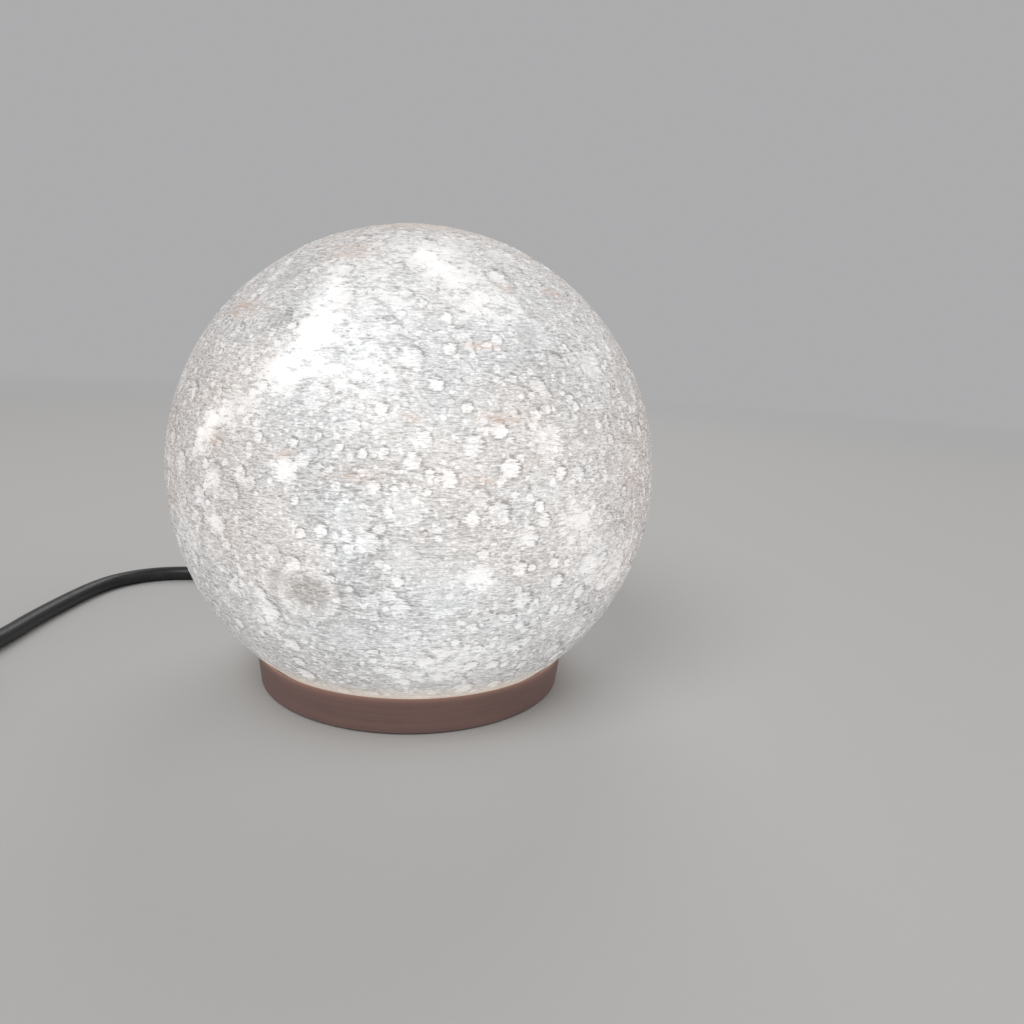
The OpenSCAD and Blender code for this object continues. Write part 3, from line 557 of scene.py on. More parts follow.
def moon_print(settings):
    """Lit printed plastic: layer strokes, round bright dots, patches and a warm or cool tint."""
    finish = Finish(
        "moon_print", settings.plastic, 0.62, Coat_Weight=1.0, Coat_Roughness=0.8,
        Coat_IOR=1.1, Coat_Tint=(0.745, 0.722, 0.710, 1.0), Emission_Strength=settings.glow,
    )
    height = finish.node("ShaderNodeSeparateXYZ", {"Vector": finish.where}, 2)
    strokes = finish.grain(400.0, 4.0, 0.66, (1, 1, 4.6))
    hatch = finish.grain(900.0, 2.0, 0.6, (1, 1, 3.8))
    stain = finish.remap(finish.grain(300.0, 4.0, 0.6, (1, 1, 5.0)), 0.40, 0.60)
    ragged = finish.remap(finish.grain(200.0, 6.0, 0.75, (1, 1, 2.2)), 0.40, 0.58, 0.0, 1.35)
    clouds = finish.grain(38.0, 3.0, 0.55)
    drift = finish.grain(30.0, 4.0, 0.6)
    finish.warp(0.0009, 420.0)
    tiny = finish.spots(640.0, (0.0, 0.0, 0.0), 0.12, 0.44)
    small = finish.spots(330.0, (3.7, 3.7, 3.7), 0.10, 0.42)

    level = finish.remap(strokes, 0.34, 0.60, 0.17, 0.67, smooth=False)
    level = finish.sum(level, finish.remap(hatch, 0.34, 0.66, -0.26, 0.26, smooth=False))
    level = finish.sum(level, finish.remap(clouds, 0.3, 0.7, -0.06, 0.06, smooth=False))
    level = finish.sum(level, finish.times(tiny, 0.28))
    level = finish.sum(level, finish.times(small, 0.36))
    uneven = finish.remap(strokes, 0.3, 0.7, 0.26, -0.26, smooth=False)
    for layer, calm, crescent_shadow in (("round", 0.12, -0.32), ("wide", 0.28, -0.14)):
        reach = finish.sum(finish.attribute(layer + "_reach"), uneven)
        disc = finish.remap(reach, 0.56, 1.08, 1.0, 0.0)
        off = finish.sum(finish.sum(reach, 1.05, "SUBTRACT"), 0.0, "ABSOLUTE")
        ring = finish.remap(off, 0.0, 0.28, 1.0, 0.0)
        # Painted shadow: each crater's rim ring turns dark on its upper right side, more for round
        # craters than for wide ones.
        shade = finish.remap(finish.attribute(layer + "_side"), 0.0, 1.0, 0.0, crescent_shadow)
        rim = finish.sum(finish.attribute(layer + "_rim"), shade)
        floor = finish.sum(finish.times(finish.attribute(layer + "_floor"), 0.85), 0.5 * calm)
        pull = finish.sum(floor, finish.times(level, -calm))
        level = finish.sum(level, finish.times(pull, disc))
        level = finish.sum(level, finish.times(rim, ring))
    level = finish.sum(level, finish.attribute("soft_ring"))
    patch = finish.attribute("patch")
    core = finish.remap(patch, 0.6, 2.3, 0.0, 0.9)
    patch = finish.sum(finish.times(patch, ragged), core)
    blaze = finish.remap(patch, 0.5, 1.2, 0.0, 0.16)
    level = finish.sum(level, patch)
    level = finish.sum(level, finish.remap(height, 0.024, 0.052, 0.0, 0.085))
    level = finish.remap(level, 0.0, 1.0, 0.0, 1.0, smooth=False)

    far = finish.sum(finish.sum(height, -0.002), 0.0, "ABSOLUTE")
    cool = finish.remap(far, 0.012, 0.050, 0.0, 0.28)
    tint = finish.remap(finish.sum(drift, cool, "SUBTRACT"), 0.26, 0.62)
    tone = finish.mix(tint, (0.928, 0.966, 0.990), (1.0, 0.974, 0.952))
    plain = finish.mix(level, (0.294, 0.289, 0.284), (0.957, 0.984, 0.998))
    toned = finish.mix(1.0, plain, tone, "MULTIPLY")
    glow = finish.mix(finish.times(finish.sum(level, 3.0, "POWER"), 0.6), toned, plain)
    glow = finish.mix(blaze, glow, (1.0, 1.0, 1.0), "ADD")
    warm = finish.times(finish.attribute("warm"), stain)
    glow = finish.mix(warm, glow, (0.62, 0.44, 0.34))
    # Painted shade: the glow turns dimmer and cream over the lowest 8 mm above the mouth.
    edge = RIM_Z - GLOBE_Z
    painted_mouth_shade = finish.remap(height, edge + 0.0010, edge + 0.0080, 0.72, 0.0)
    glow = finish.mix(painted_mouth_shade, glow, (0.88, 0.82, 0.72))
    # Painted shade: the glow turns dimmer and browner over the top of the globe.
    painted_dim_top = finish.attribute("painted_dim_top")
    glow = finish.mix(painted_dim_top, glow, finish.mix(0.6, glow, (0.56, 0.49, 0.44)))
    finish.set("Emission Color", glow)
    dark = tuple(0.80 * c for c in settings.plastic)
    finish.set("Base Color", finish.mix(level, dark, settings.plastic))
    rough = finish.sum(finish.times(strokes, 0.7), finish.times(hatch, 0.5))
    rough = finish.sum(rough, finish.times(small, -0.4))
    finish.bump(rough, 0.0009, 1.0)
    return finish.material


def moon_inside():
    """Inside of the globe's wall, lit by the bulb, with the layer lines showing."""
    finish = Finish("moon_inside", (0.6, 0.59, 0.575), 0.7, Emission_Strength=0.35)
    layers = finish.grain(140.0, 3.0, 0.6, (1, 1, 12))
    cells = finish.spots(180.0, (0.0, 0.0, 0.0), 0.3, 0.6)
    level = finish.sum(finish.remap(layers, 0.3, 0.7, 0.35, 0.75), finish.times(cells, 0.15))
    finish.set("Emission Color", finish.mix(level, (0.62, 0.6, 0.57), (1.0, 0.985, 0.96)))
    finish.bump(layers, 0.0004)
    return finish.material


def brown_print(settings):
    """Printed brown plastic: layer lines, slightly uneven shade, and painted light along the top of the
    rim.
    """
    finish = Finish("brown_print", settings.plastic, 0.52, Emission_Strength=1.0)
    per_layer = 1.0 / settings.layer_height
    layers = finish.grain(1.0, 2.0, 0.5, (14.0, 14.0, per_layer))
    blotches = finish.grain(60.0, 4.0, 0.6, (1, 1, 2))
    colour = tuple(settings.plastic)
    deep = tuple(0.90 * c for c in colour)
    pale = (1.15 * colour[0], 1.08 * colour[1], 1.06 * colour[2])
    shade = finish.sum(finish.times(layers, 0.6), finish.times(blotches, 0.4))
    finish.set("Base Color", finish.mix(finish.remap(shade, 0.36, 0.64), deep, pale))
    finish.set("Roughness", finish.remap(layers, 0.3, 0.7, 0.46, 0.62))
    height = finish.node("ShaderNodeSeparateXYZ", {"Vector": finish.where}, 2)
    # Painted light: the outside of the rim glows warm brown over its top 3.2 mm, strongest at the very
    # top.
    edge = finish.remap(height, BASE_TOP - 0.0032, BASE_TOP, 0.0, 1.0, smooth=False)
    sharp = finish.sum(edge, 4.0, "POWER")
    edge = finish.sum(finish.times(edge, 0.22), finish.times(sharp, 0.78))
    reach = finish.node("ShaderNodeVectorMath", {0: finish.where}, 1, operation="LENGTH")
    edge = finish.times(edge, finish.remap(reach, 0.043, 0.046))
    finish.set("Emission Color", finish.mix(edge, (0.0, 0.0, 0.0), (0.16, 0.088, 0.064)))
    ridge = finish.node(
        "ShaderNodeTexWave",
        {"Vector": finish.scaled((0.0, 0.0, per_layer)), "Scale": 0.3141593, "Distortion": 0.0},
        1, bands_direction="Z",
    )
    line = 1 / 0.00045
    raster = finish.node(
        "ShaderNodeTexWave",
        {"Vector": finish.scaled((line, line, 0.0)), "Scale": 0.444, "Distortion": 0.0},
        1, bands_direction="DIAGONAL",
    )
    facing = finish.node("ShaderNodeNewGeometry", {}, 1)
    facing = finish.node("ShaderNodeSeparateXYZ", {"Vector": facing}, 2)
    level = finish.remap(finish.sum(facing, 0.0, "ABSOLUTE"), 0.93, 0.98)
    walls = finish.sum(finish.times(ridge, 0.5), finish.times(layers, 0.5))
    height = finish.node("ShaderNodeMix", {0: level, 2: walls, 3: raster})
    finish.bump(height, 0.0001, 0.5)
    return finish.material


def lead_sheath(settings):
    """Black sheath of the lead: satin, with a fine grain and scuffs."""
    finish = Finish("lead_sheath", settings.sheath, 0.42, Specular_IOR_Level=0.42)
    scuffs = finish.remap(finish.grain(160.0, 6.0, 0.65), 0.5, 0.72)
    grey = tuple(c + 0.012 for c in settings.sheath)
    finish.set("Base Color", finish.mix(scuffs, settings.sheath, grey))
    finish.set("Roughness", finish.remap(scuffs, 0.0, 1.0, 0.36, 0.55))
    finish.bump(finish.grain(900.0, 3.0), 0.00005)
    return finish.material


# ---- Stage, lamps and camera ----


def add_camera():
    data = bpy.data.cameras.new("photo_camera")
    data.sensor_fit = "HORIZONTAL"
    data.sensor_width = 36.0
    data.lens = CAMERA_LENS
    data.clip_start = 0.01
    data.clip_end = 50.0
    camera = bpy.data.objects.new("photo_camera", data)
    bpy.context.scene.collection.objects.link(camera)
    back = [-v for v in CAMERA_FORWARD]
    rows = [
        (CAMERA_RIGHT[i], CAMERA_UP[i], back[i], CAMERA_AT[i]) for i in range(3)
    ]
    camera.matrix_world = Matrix([*rows, (0.0, 0.0, 0.0, 1.0)])
    bpy.context.scene.camera = camera


def add_floor(settings):
    points, faces = turned_mesh([(0.0, 0.0), (0.5, 0.0), (2.0, 0.0), (12.0, 0.0)], 64)
    floor = add_mesh("floor", points, faces)
    finish = Finish("pale_floor", settings.floor, 0.7, Specular_IOR_Level=0.2)
    flecks = finish.grain(260.0, 4.0)
    colour = tuple(settings.floor)
    deep = tuple(0.985 * c for c in colour)
    finish.set("Base Color", finish.mix(flecks, deep, colour))
    distance = finish.node("ShaderNodeVectorMath", {0: finish.where}, 1, operation="LENGTH")
    far = finish.remap(distance, 0.55, 2.2)
    plain = finish.node(
        "ShaderNodeEmission", {"Color": (*settings.backdrop, 1.0), "Strength": 1.0}
    )
    seen = finish.node("ShaderNodeMixShader", {0: far, 1: finish.shader.outputs[0], 2: plain})
    output = finish.tree.nodes["Material Output"]
    finish.tree.links.new(seen, output.inputs["Surface"])
    floor.data.materials.append(finish.material)


def add_world(settings):
    world = bpy.data.worlds.new("soft_room")
    bpy.context.scene.world = world
    world.use_nodes = True
    nodes = world.node_tree.nodes
    links = world.node_tree.links
    room = nodes["Background"]
    room.inputs["Color"].default_value = (1.0, 1.0, 1.0, 1.0)
    room.inputs["Strength"].default_value = 0.46
    backdrop = nodes.new("ShaderNodeBackground")
    backdrop.inputs["Color"].default_value = (*settings.backdrop, 1.0)
    backdrop.inputs["Strength"].default_value = 1.0
    path = nodes.new("ShaderNodeLightPath")
    seen = nodes.new("ShaderNodeMath")
    seen.operation = "MAXIMUM"
    links.new(path.outputs["Is Camera Ray"], seen.inputs[0])
    links.new(path.outputs["Is Glossy Ray"], seen.inputs[1])
    clear = nodes.new("ShaderNodeMath")
    clear.operation = "MAXIMUM"
    links.new(seen.outputs[0], clear.inputs[0])
    links.new(path.outputs["Is Transmission Ray"], clear.inputs[1])
    mixed = nodes.new("ShaderNodeMixShader")
    links.new(clear.outputs[0], mixed.inputs[0])
    links.new(room.outputs[0], mixed.inputs[1])
    links.new(backdrop.outputs[0], mixed.inputs[2])
    links.new(mixed.outputs[0], nodes["World Output"].inputs["Surface"])


def add_soft_lamp(name, place, aim, size, power):
    data = bpy.data.lights.new(name, "AREA")
    data.shape = "DISK"
    data.size = size
    data.energy = power
    lamp = bpy.data.objects.new(name, data)
    bpy.context.scene.collection.objects.link(lamp)
    lamp.location = place
    lamp.rotation_euler = (Vector(aim) - Vector(place)).to_track_quat("-Z", "Y").to_euler()


def make_stage(settings):
    scene = bpy.context.scene
    scene.view_settings.view_transform = "Standard"
    add_floor(settings)
    add_world(settings)
    add_soft_lamp("key_lamp", (-0.9, -1.3, 1.7), (0.0, 0.0, 0.05), 1.4, 22.0)
    add_soft_lamp("fill_lamp", (1.5, -0.6, 1.1), (0.0, 0.0, 0.05), 1.6, 6.0)
    add_soft_lamp("back_lamp", (0.3, 1.6, 1.5), (0.0, 0.0, 0.05), 1.4, 10.0)


# ---- Lead ----


def coil_point(t):
    """A point of the coil, t turns from its start; it winds in, climbs and winds out again."""
    s = t - COIL_TURNS / 2
    turn = math.radians(COIL_FIRST - 360 * t)
    fold = abs(s) if abs(s) > COIL_CLIMB else s * s / (2 * COIL_CLIMB) + COIL_CLIMB / 2
    radius = COIL_R - COIL_PITCH * (COIL_TURNS / 2 - fold)
    rise = min(max((s + COIL_CLIMB) / (2 * COIL_CLIMB), 0.0), 1.0)
    height = LEAD_Z + COIL_STEP * rise * rise * (3 - 2 * rise)
    x = COIL_MIDDLE[0] + radius * math.cos(turn)
    y = COIL_MIDDLE[1] + radius * math.sin(turn)
    return Vector((x, y, height))


def coil_line():
    count = round(COIL_TURNS * 24)
    points = [coil_point(COIL_TURNS * i / count) for i in range(count + 1)]
    head = (coil_point(0.002) - coil_point(0)).normalized()
    tail = (coil_point(COIL_TURNS) - coil_point(COIL_TURNS - 0.002)).normalized()
    return [points[0] - LEAD_D * head, *points, points[-1] + LEAD_D * tail]


def add_lead(name, line, settings, material):
    data = bpy.data.curves.new(name, "CURVE")
    data.dimensions = "3D"
    data.bevel_depth = settings.diameter / 2
    data.bevel_resolution = 5
    data.use_fill_caps = True
    spline = data.splines.new("POLY")
    spline.points.add(len(line) - 1)
    for point, place in zip(spline.points, line):
        point.co = (*place, 1.0)
    spline.use_smooth = True
    piece = bpy.data.objects.new(name, data)
    bpy.context.scene.collection.objects.link(piece)
    data.materials.append(material)
    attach(piece, "base")
    return piece


def coiled_line():
    return through([*SWITCH_ROUTE, *coil_line(), *PLUG_ROUTE], 3)


def make_leads(settings):
    material = lead_sheath(settings)
    near = add_lead("lead_to_switch", through(LAMP_ROUTE, 6), settings, material)
    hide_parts("lamp_lead")
    far = add_lead("lead_coiled", coiled_line(), settings, material)
    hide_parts("coil_lead", "cord_coil", "plug_lead")


# ---- Globe ----


def direction(lon, lat):
    lon = math.radians(lon)
    lat = math.radians(lat)
    return np.array(
        [math.cos(lat) * math.cos(lon), math.cos(lat) * math.sin(lon), math.sin(lat)]
    )


def all_craters(count):
    """The craters on the front, and count more over the whole globe, clear of each other."""
    dice = random.Random(71)
    craters = list(FRONT_CRATERS)
    ways = np.zeros((len(craters) + count, 3))
    radii = np.zeros(len(ways))
    for i, (lon, lat, radius, _, _) in enumerate(craters):
        ways[i] = direction(lon, lat)
        radii[i] = radius
    tries = 0
    while len(craters) < len(ways) and tries < 40000:
        tries += 1
        radius = min(1.0 / (1 - 0.88 * dice.random()) ** 0.85, 6.0)
        height = dice.uniform(-0.78, 0.995)
        lon = dice.uniform(-180, 180)
        lat = math.degrees(math.asin(height))
        light = dice.uniform(0.06, 0.54)
        rim = dice.uniform(-0.18, 0.02)
        if radius > 3.4:
            light = dice.uniform(-0.12, 0.26)
            rim = dice.uniform(0.02, 0.2)
        known = len(craters)
        way = direction(lon, lat)
        apart = 1000 * GLOBE_R * np.linalg.norm(ways[:known] - way, axis=1)
        if np.any(apart < 0.85 * (radii[:known] + min(radius, 3.0))):
            continue
        ways[known] = way
        radii[known] = radius
        craters.append((lon, lat, radius, light, rim))
    return craters


def surface_of(ways, settings):
    """Height above the plain globe, and marks for the material, for each direction in ways."""
    count = len(ways)
    height = np.zeros(count)
    marks = {}
    for layer in ("round", "wide"):
        marks[layer + "_reach"] = np.full(count, 9.0)
        for mark in ("_floor", "_rim", "_side"):
            marks[layer + mark] = np.zeros(count)
    level = np.hypot(ways[:, 0], ways[:, 1]) + 1e-9
    east = np.column_stack([-ways[:, 1] / level, ways[:, 0] / level, np.zeros(count)])
    # A fixed way along the surface, up and to the east, towards which each crater gets a painted shadow
    # crescent
    painted_shadow_way = 0.75 * east + 0.66 * np.cross(ways, east)
    for lon, lat, radius, floor, rim in all_craters(settings.crater_count):
        offset = 1000 * GLOBE_R * (ways - direction(lon, lat)) / radius
        t = np.sqrt((offset * offset).sum(axis=1))
        depth = min(settings.relief, 0.00011 * radius)
        inside = 1 - smooth_step(0.70, 1.0, t)
        height += depth * (0.4 * np.exp(-(((t - 1.0) / 0.17) ** 2)) - inside)
        layer = "round" if radius < 3.4 else "wide"
        near = t < marks[layer + "_reach"]
        marks[layer + "_reach"][near] = t[near]
        marks[layer + "_floor"][near] = floor
        marks[layer + "_rim"][near] = rim
        # How far each point lies towards its crater's painted shadow side
        marks[layer + "_side"][near] = (offset * painted_shadow_way).sum(axis=1)[near]
    patch = np.zeros(count)
    for lon, lat, radius, light in PATCHES:
        offset = ways - direction(lon, lat)
        t = 1000 * GLOBE_R * np.sqrt((offset * offset).sum(axis=1)) / radius
        patch += light * np.exp(-((t * 0.95) ** 2.4))
    ring = np.zeros(count)
    for lon, lat, radius, half_width, light in RINGS:
        offset = 1000 * GLOBE_R * np.linalg.norm(ways - direction(lon, lat), axis=1) - radius
        ring += light * np.exp(-((offset / half_width) ** 2))
    warm = np.zeros(count)
    for lon, lat, half_length, half_height, strength in STAINS:
        offset = 1000 * GLOBE_R * (ways - direction(lon, lat))
        across = (offset[:, 0] ** 2 + offset[:, 1] ** 2) / half_length ** 2
        warm += strength * np.exp(-across - (offset[:, 2] / half_height) ** 2)
    marks["patch"] = patch
    marks["soft_ring"] = ring
    marks["warm"] = np.clip(warm, 0, 1)
    # Top of the globe, which gets painted shade
    marks["painted_dim_top"] = smooth_step(0.915, 0.985, ways[:, 2])
    return height, marks


def globe_rings():
    """Latitude and number of points of each ring, from the globe's mouth to its top."""
    step = math.radians(0.78)
    lat = math.asin((RIM_Z - GLOBE_Z) / GLOBE_R)
    rings = []
    while lat < math.pi / 2 - 1.5 * step:
        share = math.cos(lat)
        count = 464 if share > 0.42 else 232 if share > 0.2 else 116 if share > 0.09 else 58
        rings.append((lat, count))
        lat += step
    rings.append((math.pi / 2, 1))
    return rings


def make_globe(settings):
    ways = []
    rings = []
    for lat, count in globe_rings():
        rings.append(list(range(len(ways), len(ways) + count)))
        for k in range(count):
            ways.append(direction(360 * k / count, math.degrees(lat)))
    ways = np.array(ways)
    height, marks = surface_of(ways, settings)
    mouth = smooth_step(RIM_Z - GLOBE_Z, RIM_Z - GLOBE_Z + 0.004, GLOBE_R * ways[:, 2])
    outer = ways * (GLOBE_R + (height * mouth))[:, None]
    points = [tuple(p) for p in outer]
    faces = []
    for lower, upper in zip(rings, rings[1:]):
        faces.extend(band(lower, upper))
    outside = len(faces)

    inner_r = GLOBE_R - GLOBE_WALL
    low = math.asin((RIM_Z - GLOBE_Z) / inner_r)
    previous = rings[0][::4]
    rows = 40
    for i in range(rows + 1):
        lat = low + (math.pi / 2 - low) * i / rows
        count = 1 if i == rows else 116
        ring = list(range(len(points), len(points) + count))
        for k in range(count):
            way = direction(360 * k / count, math.degrees(lat))
            points.append(tuple(inner_r * way))
        if i == 0:
            lip = list(range(len(points), len(points) + 464))
            for k in range(464):
                way = direction(360 * k / 464, math.degrees(low))
                points.append(tuple(inner_r * way))
            faces.extend(band(rings[0], lip))
            half = list(range(len(points), len(points) + 232))
            for k in range(232):
                way = direction(360 * k / 232, math.degrees(low + 0.012))
                points.append(tuple(inner_r * way))
            faces.extend(band(lip, half))
            quarter = list(range(len(points), len(points) + 116))
            for k in range(116):
                way = direction(360 * k / 116, math.degrees(low + 0.03))
                points.append(tuple(inner_r * way))
            faces.extend(band(half, quarter))
            previous = quarter
            continue
        if lat < low + 0.04:
            continue
        faces.extend(band(previous, ring))
        previous = ring
    used = sorted({i for face in faces for i in face})
    renumber = {old: new for new, old in enumerate(used)}
    points = [points[i] for i in used]
    faces = [tuple(renumber[i] for i in face) for face in faces]

    piece = add_mesh("moon", points, faces, 75)
    piece.location = (0.0, 0.0, GLOBE_Z)
    for name, values in marks.items():
        layer = piece.data.attributes.new(name, "FLOAT", "POINT")
        full = np.zeros(len(points), dtype=np.float32)
        full[: len(values)] = values
        layer.data.foreach_set("value", full)
    finish_piece(piece, "globe", "moon_white", moon_print(settings), "moon_globe")
    piece.data.materials.append(moon_inside())
    material_of = np.zeros(len(piece.data.polygons), dtype=np.int32)
    material_of[outside:] = 1
    piece.data.polygons.foreach_set("material_index", material_of)


# ---- Strain relief and cores ----


def make_strain_relief(rubber):
    """Ribbed, tapered sleeve on the lead where it leaves the ring."""
    start = 50.5
    length = 24.5
    ribs = 5
    pitch = (length - 4) / ribs
    bore = 2.95
    corners = [(bore, 44.6, 0), (3.45, 44.6, 0), (3.45, start, 0), (4.6, start, 0.4)]
    for i in range(ribs):
        low = start + 4 + i * pitch
        corners += [
            (4.6 - (low - start) / length, low, 0.25), (3.3, low + 0.1, 0.2),
            (3.3, low + 1.2, 0.2), (4.6 - (low + 1.3 - start) / length, low + 1.3, 0.25),
        ]
    corners += [(3.6, start + length, 0.3), (bore, start + length, 0)]
    sleeve = turned_mesh(rounded(corners, 2, closed=True), 40, closed=True)
    flange = block((-3.45 * MM, -5.2 * MM, 42.9 * MM), (3.45 * MM, 5.2 * MM, 44.7 * MM))
    place = Matrix.Translation((0.0, 0.0, EXIT_Z)) @ along(EXIT_TURN)
    points, faces = moved(joined([sleeve, flange]), place)
    piece = add_mesh("strain_relief", points, faces)
    finish_piece(piece, "base", "rubber_black", rubber, "cord_grommet")


def make_core(name, side, material):
    """One insulated core, from the end of the sheath up to its terminal."""
    route = [
        (27.5, 1.35, 6.0), (27, 1.35, 6.0), (25.5, 1.5, 6.4), (23.8, 2.6, 7.8),
        (22.2, 4.6, 10.3), (20.8, 6.0, 11.3), (19.2, 6.3, 11.3),
    ]
    line = through([Vector((x, side * y, z)) * MM for x, y, z in route], 5)
    place = Matrix.Rotation(EXIT_TURN, 4, "Z")
    points, faces = moved(tube(line, 1.2 * MM, 16), place)
    piece = add_mesh(name, points, faces)
    return piece


# ---- Screws ----


def cross_screw(head_r, head_t, shank_r, length):
    """Domed screw head with a cross cut into it, on a threaded shank, its seat at z 0."""
    pitch = 0.9
    corners = [(0, -length, 0), (shank_r * 0.5, -length, 0.1)]
    turns = max(1, int((length - 0.4) / pitch))
    for i in range(turns):
        low = -length + 0.2 + i * pitch
        corners += [(shank_r * 0.86, low, 0), (shank_r, low + pitch * 0.5, 0)]
    corners += [
        (shank_r, 0, 0), (head_r * 0.97, 0, 0.1), (head_r, head_t * 0.3, 0.2),
        (head_r * 0.8, head_t * 0.82, 0.5), (head_r * 0.4, head_t, 0.4), (0, head_t, 0),
    ]
    points, faces = turned_mesh(rounded(corners, 3), 40)
    head = add_mesh("screw_head", points, faces)
    arm = head_r * 0.56
    half = head_r * 0.11
    deep = head_t * 0.45
    cuts = [
        block((-arm * MM, -half * MM, deep * MM), (arm * MM, half * MM, 2 * head_t * MM)),
        block((-half * MM, -arm * MM, deep * MM), (half * MM, arm * MM, 2 * head_t * MM)),
    ]
    for cut in cuts:
        tool = add_mesh("cross_cut", *cut)
        slot_cut = head.modifiers.new("cross", "BOOLEAN")
        slot_cut.operation = "DIFFERENCE"
        slot_cut.object = tool
        slot_cut.solver = "EXACT"
        apply_modifiers(head)
        bpy.data.objects.remove(tool)
    part = ([v.co.copy() for v in head.data.vertices],
            [tuple(p.vertices) for p in head.data.polygons])
    bpy.data.objects.remove(head)
    return part


def place_screws(name, screw, places, material, body, node):
    """One piece of like screws; places give each seat, tilt upside down or not, and turn."""
    parts = []
    for (x, y, z), flipped, turn in places:
        place = Matrix.Translation((x * MM, y * MM, z * MM))
        if flipped:
            place = place @ Matrix.Rotation(math.pi, 4, "X")
        parts.append(moved(screw, place @ Matrix.Rotation(math.radians(turn), 4, "Z")))
    points, faces = joined(parts)
    piece = add_mesh(name, points, faces, 35)
    finish_piece(piece, body, "screw_steel", material, node)


def exit_point(x, y, z):
    turn = Matrix.Rotation(EXIT_TURN, 3, "Z")
    return tuple(turn @ Vector((x, y, z)))


def make_screws(steel):
    fixing = cross_screw(2.7, 1.6, 1.45, 6.0)
    place_screws(
        "holder_fixing_screws", fixing,
        [(exit_point(0, 18, 8.3), False, 20), (exit_point(0, -18, 8.3), False, 65)],
        steel, "base", "holder_screws",
    )
    place_screws(
        "lead_clamp_screws", fixing,
        [(exit_point(34, 8.2, 8.1), False, 35), (exit_point(34, -8.2, 8.1), False, -10)],
        steel, "base", "clamp_screws",
    )
    terminal = cross_screw(2.0, 1.3, 1.3, 1.7)
    place_screws(
        "core_terminal_screws", terminal,
        [(exit_point(16.7, 6.3, 14.3), False, 10), (exit_point(16.7, -6.3, 14.3), False, 50)],
        steel, "base", "terminal_screws",
    )
    shell = cross_screw(2.1, 1.3, 1.2, 9.0)
    place_screws(
        "switch_shell_screws", shell,
        [((-143 - 7.2, -51 + 16, 1.6), True, 15), ((-143 + 7.2, -51 - 16, 1.6), True, 75)],
        steel, "base", "switch_screws",
    )


# ---- Bulb and its socket ----


def threaded_wall(outer, inner, low, high, sides=96, rows=110):
    """Points and faces of a sheet-metal sleeve; outer and inner give its radius at a place."""
    points = []
    rings = []
    heights = [low + (high - low) * i / rows for i in range(rows + 1)]
    for wall, order in ((outer, heights), (inner, list(reversed(heights)))):
        for height in order:
            rings.append(list(range(len(points), len(points) + sides)))
            for k in range(sides):
                turn = 2 * math.pi * k / sides
                radius = wall(turn, height)
                points.append((radius * math.cos(turn), radius * math.sin(turn), height))
    faces = []
    for lower, upper in zip(rings, [*rings[1:], rings[0]]):
        faces.extend(band(lower, upper))
    return [Vector(p) * MM for p in points], faces


def thread_wave(turn, height, low, high):
    """0 at the root and 1 at the crest of the right-handed thread, faded out at its ends."""
    wave = 0.5 + 0.5 * math.cos(2 * math.pi * height / THREAD_PITCH - turn)
    fade = min(max((height - low) / 0.8, 0.0), 1.0) * min(max((high - height) / 0.8, 0.0), 1.0)
    return wave, fade


def make_cap(nickel):
    """Screw cap of the bulb, rolled with its thread."""

    def outer(turn, height):
        if height < 21.4:
            return 6.5 + 0.4 * (height - 20.2) / 1.2
        wave, fade = thread_wave(turn, height, 21.6, 36.4)
        return 6.9 - 0.36 * fade * (1 - wave)

    points, faces = threaded_wall(outer, lambda turn, height: 6.4, 20.2, 38.8)
    piece = add_mesh("bulb_screw_cap", points, faces, 60)
    finish_piece(piece, "bulb", "cap_metal", nickel, "bulb_cap")


def make_socket_shell(brass):
    """Threaded shell of the holder, that the cap turns in."""

    def inner(turn, height):
        wave, fade = thread_wave(turn, height, 15.4, 36.6)
        return 7.4 - 0.28 * fade * (1 - wave)

    sleeve = threaded_wall(lambda turn, height: 7.9, inner, 13.7, 38.8)
    plate = turned_mesh(
        rounded([(5.3, 13.7, 0), (7.5, 13.7, 0), (7.5, 14.2, 0), (5.3, 14.2, 0.2)], closed=True),
        48, closed=True,
    )
    points, faces = joined([sleeve, plate])
    piece = add_mesh("socket_shell", points, faces, 60)
    finish_piece(piece, "base", "brass", brass, "screw_shell")


def housing_radius(t):
    return 7.2 + 9.8 * (0.35 * t + 0.65 * math.sin(math.pi / 2 * t))


def make_bulb_housing(plastic):
    """White housing between the cap and the frosted ball, with its stem inside the cap."""
    low = 42.5
    high = 59.76
    steps = 24
    corners = [(4.95, 20.8, 0), (6.35, 20.8, 0), (6.35, 38.85, 0), (7.2, 38.85, 0.2)]
    corners += [(7.2, 40.6, 0.15), (6.95, 40.9, 0.1), (6.95, 41.5, 0.1), (7.2, 41.8, 0.15)]
    for i in range(steps):
        t = i / steps
        corners.append((housing_radius(t), low + (high - low) * t, 0))
    corners += [(17.0, high - 0.5, 0.2), (17.0, high, 0.2), (15.4, high, 0)]
    for i in range(steps - 1, 0, -1):
        t = i / steps
        radius = max(4.95, housing_radius(t) - 1.6)
        corners.append((radius, low + (high - low) * t, 0))
    corners.append((4.95, low, 0))
    piece = turned("bulb_shell", rounded(corners, 2, closed=True), 96, closed=True)
    finish_piece(piece, "bulb", "bulb_white", plastic, "bulb_housing")


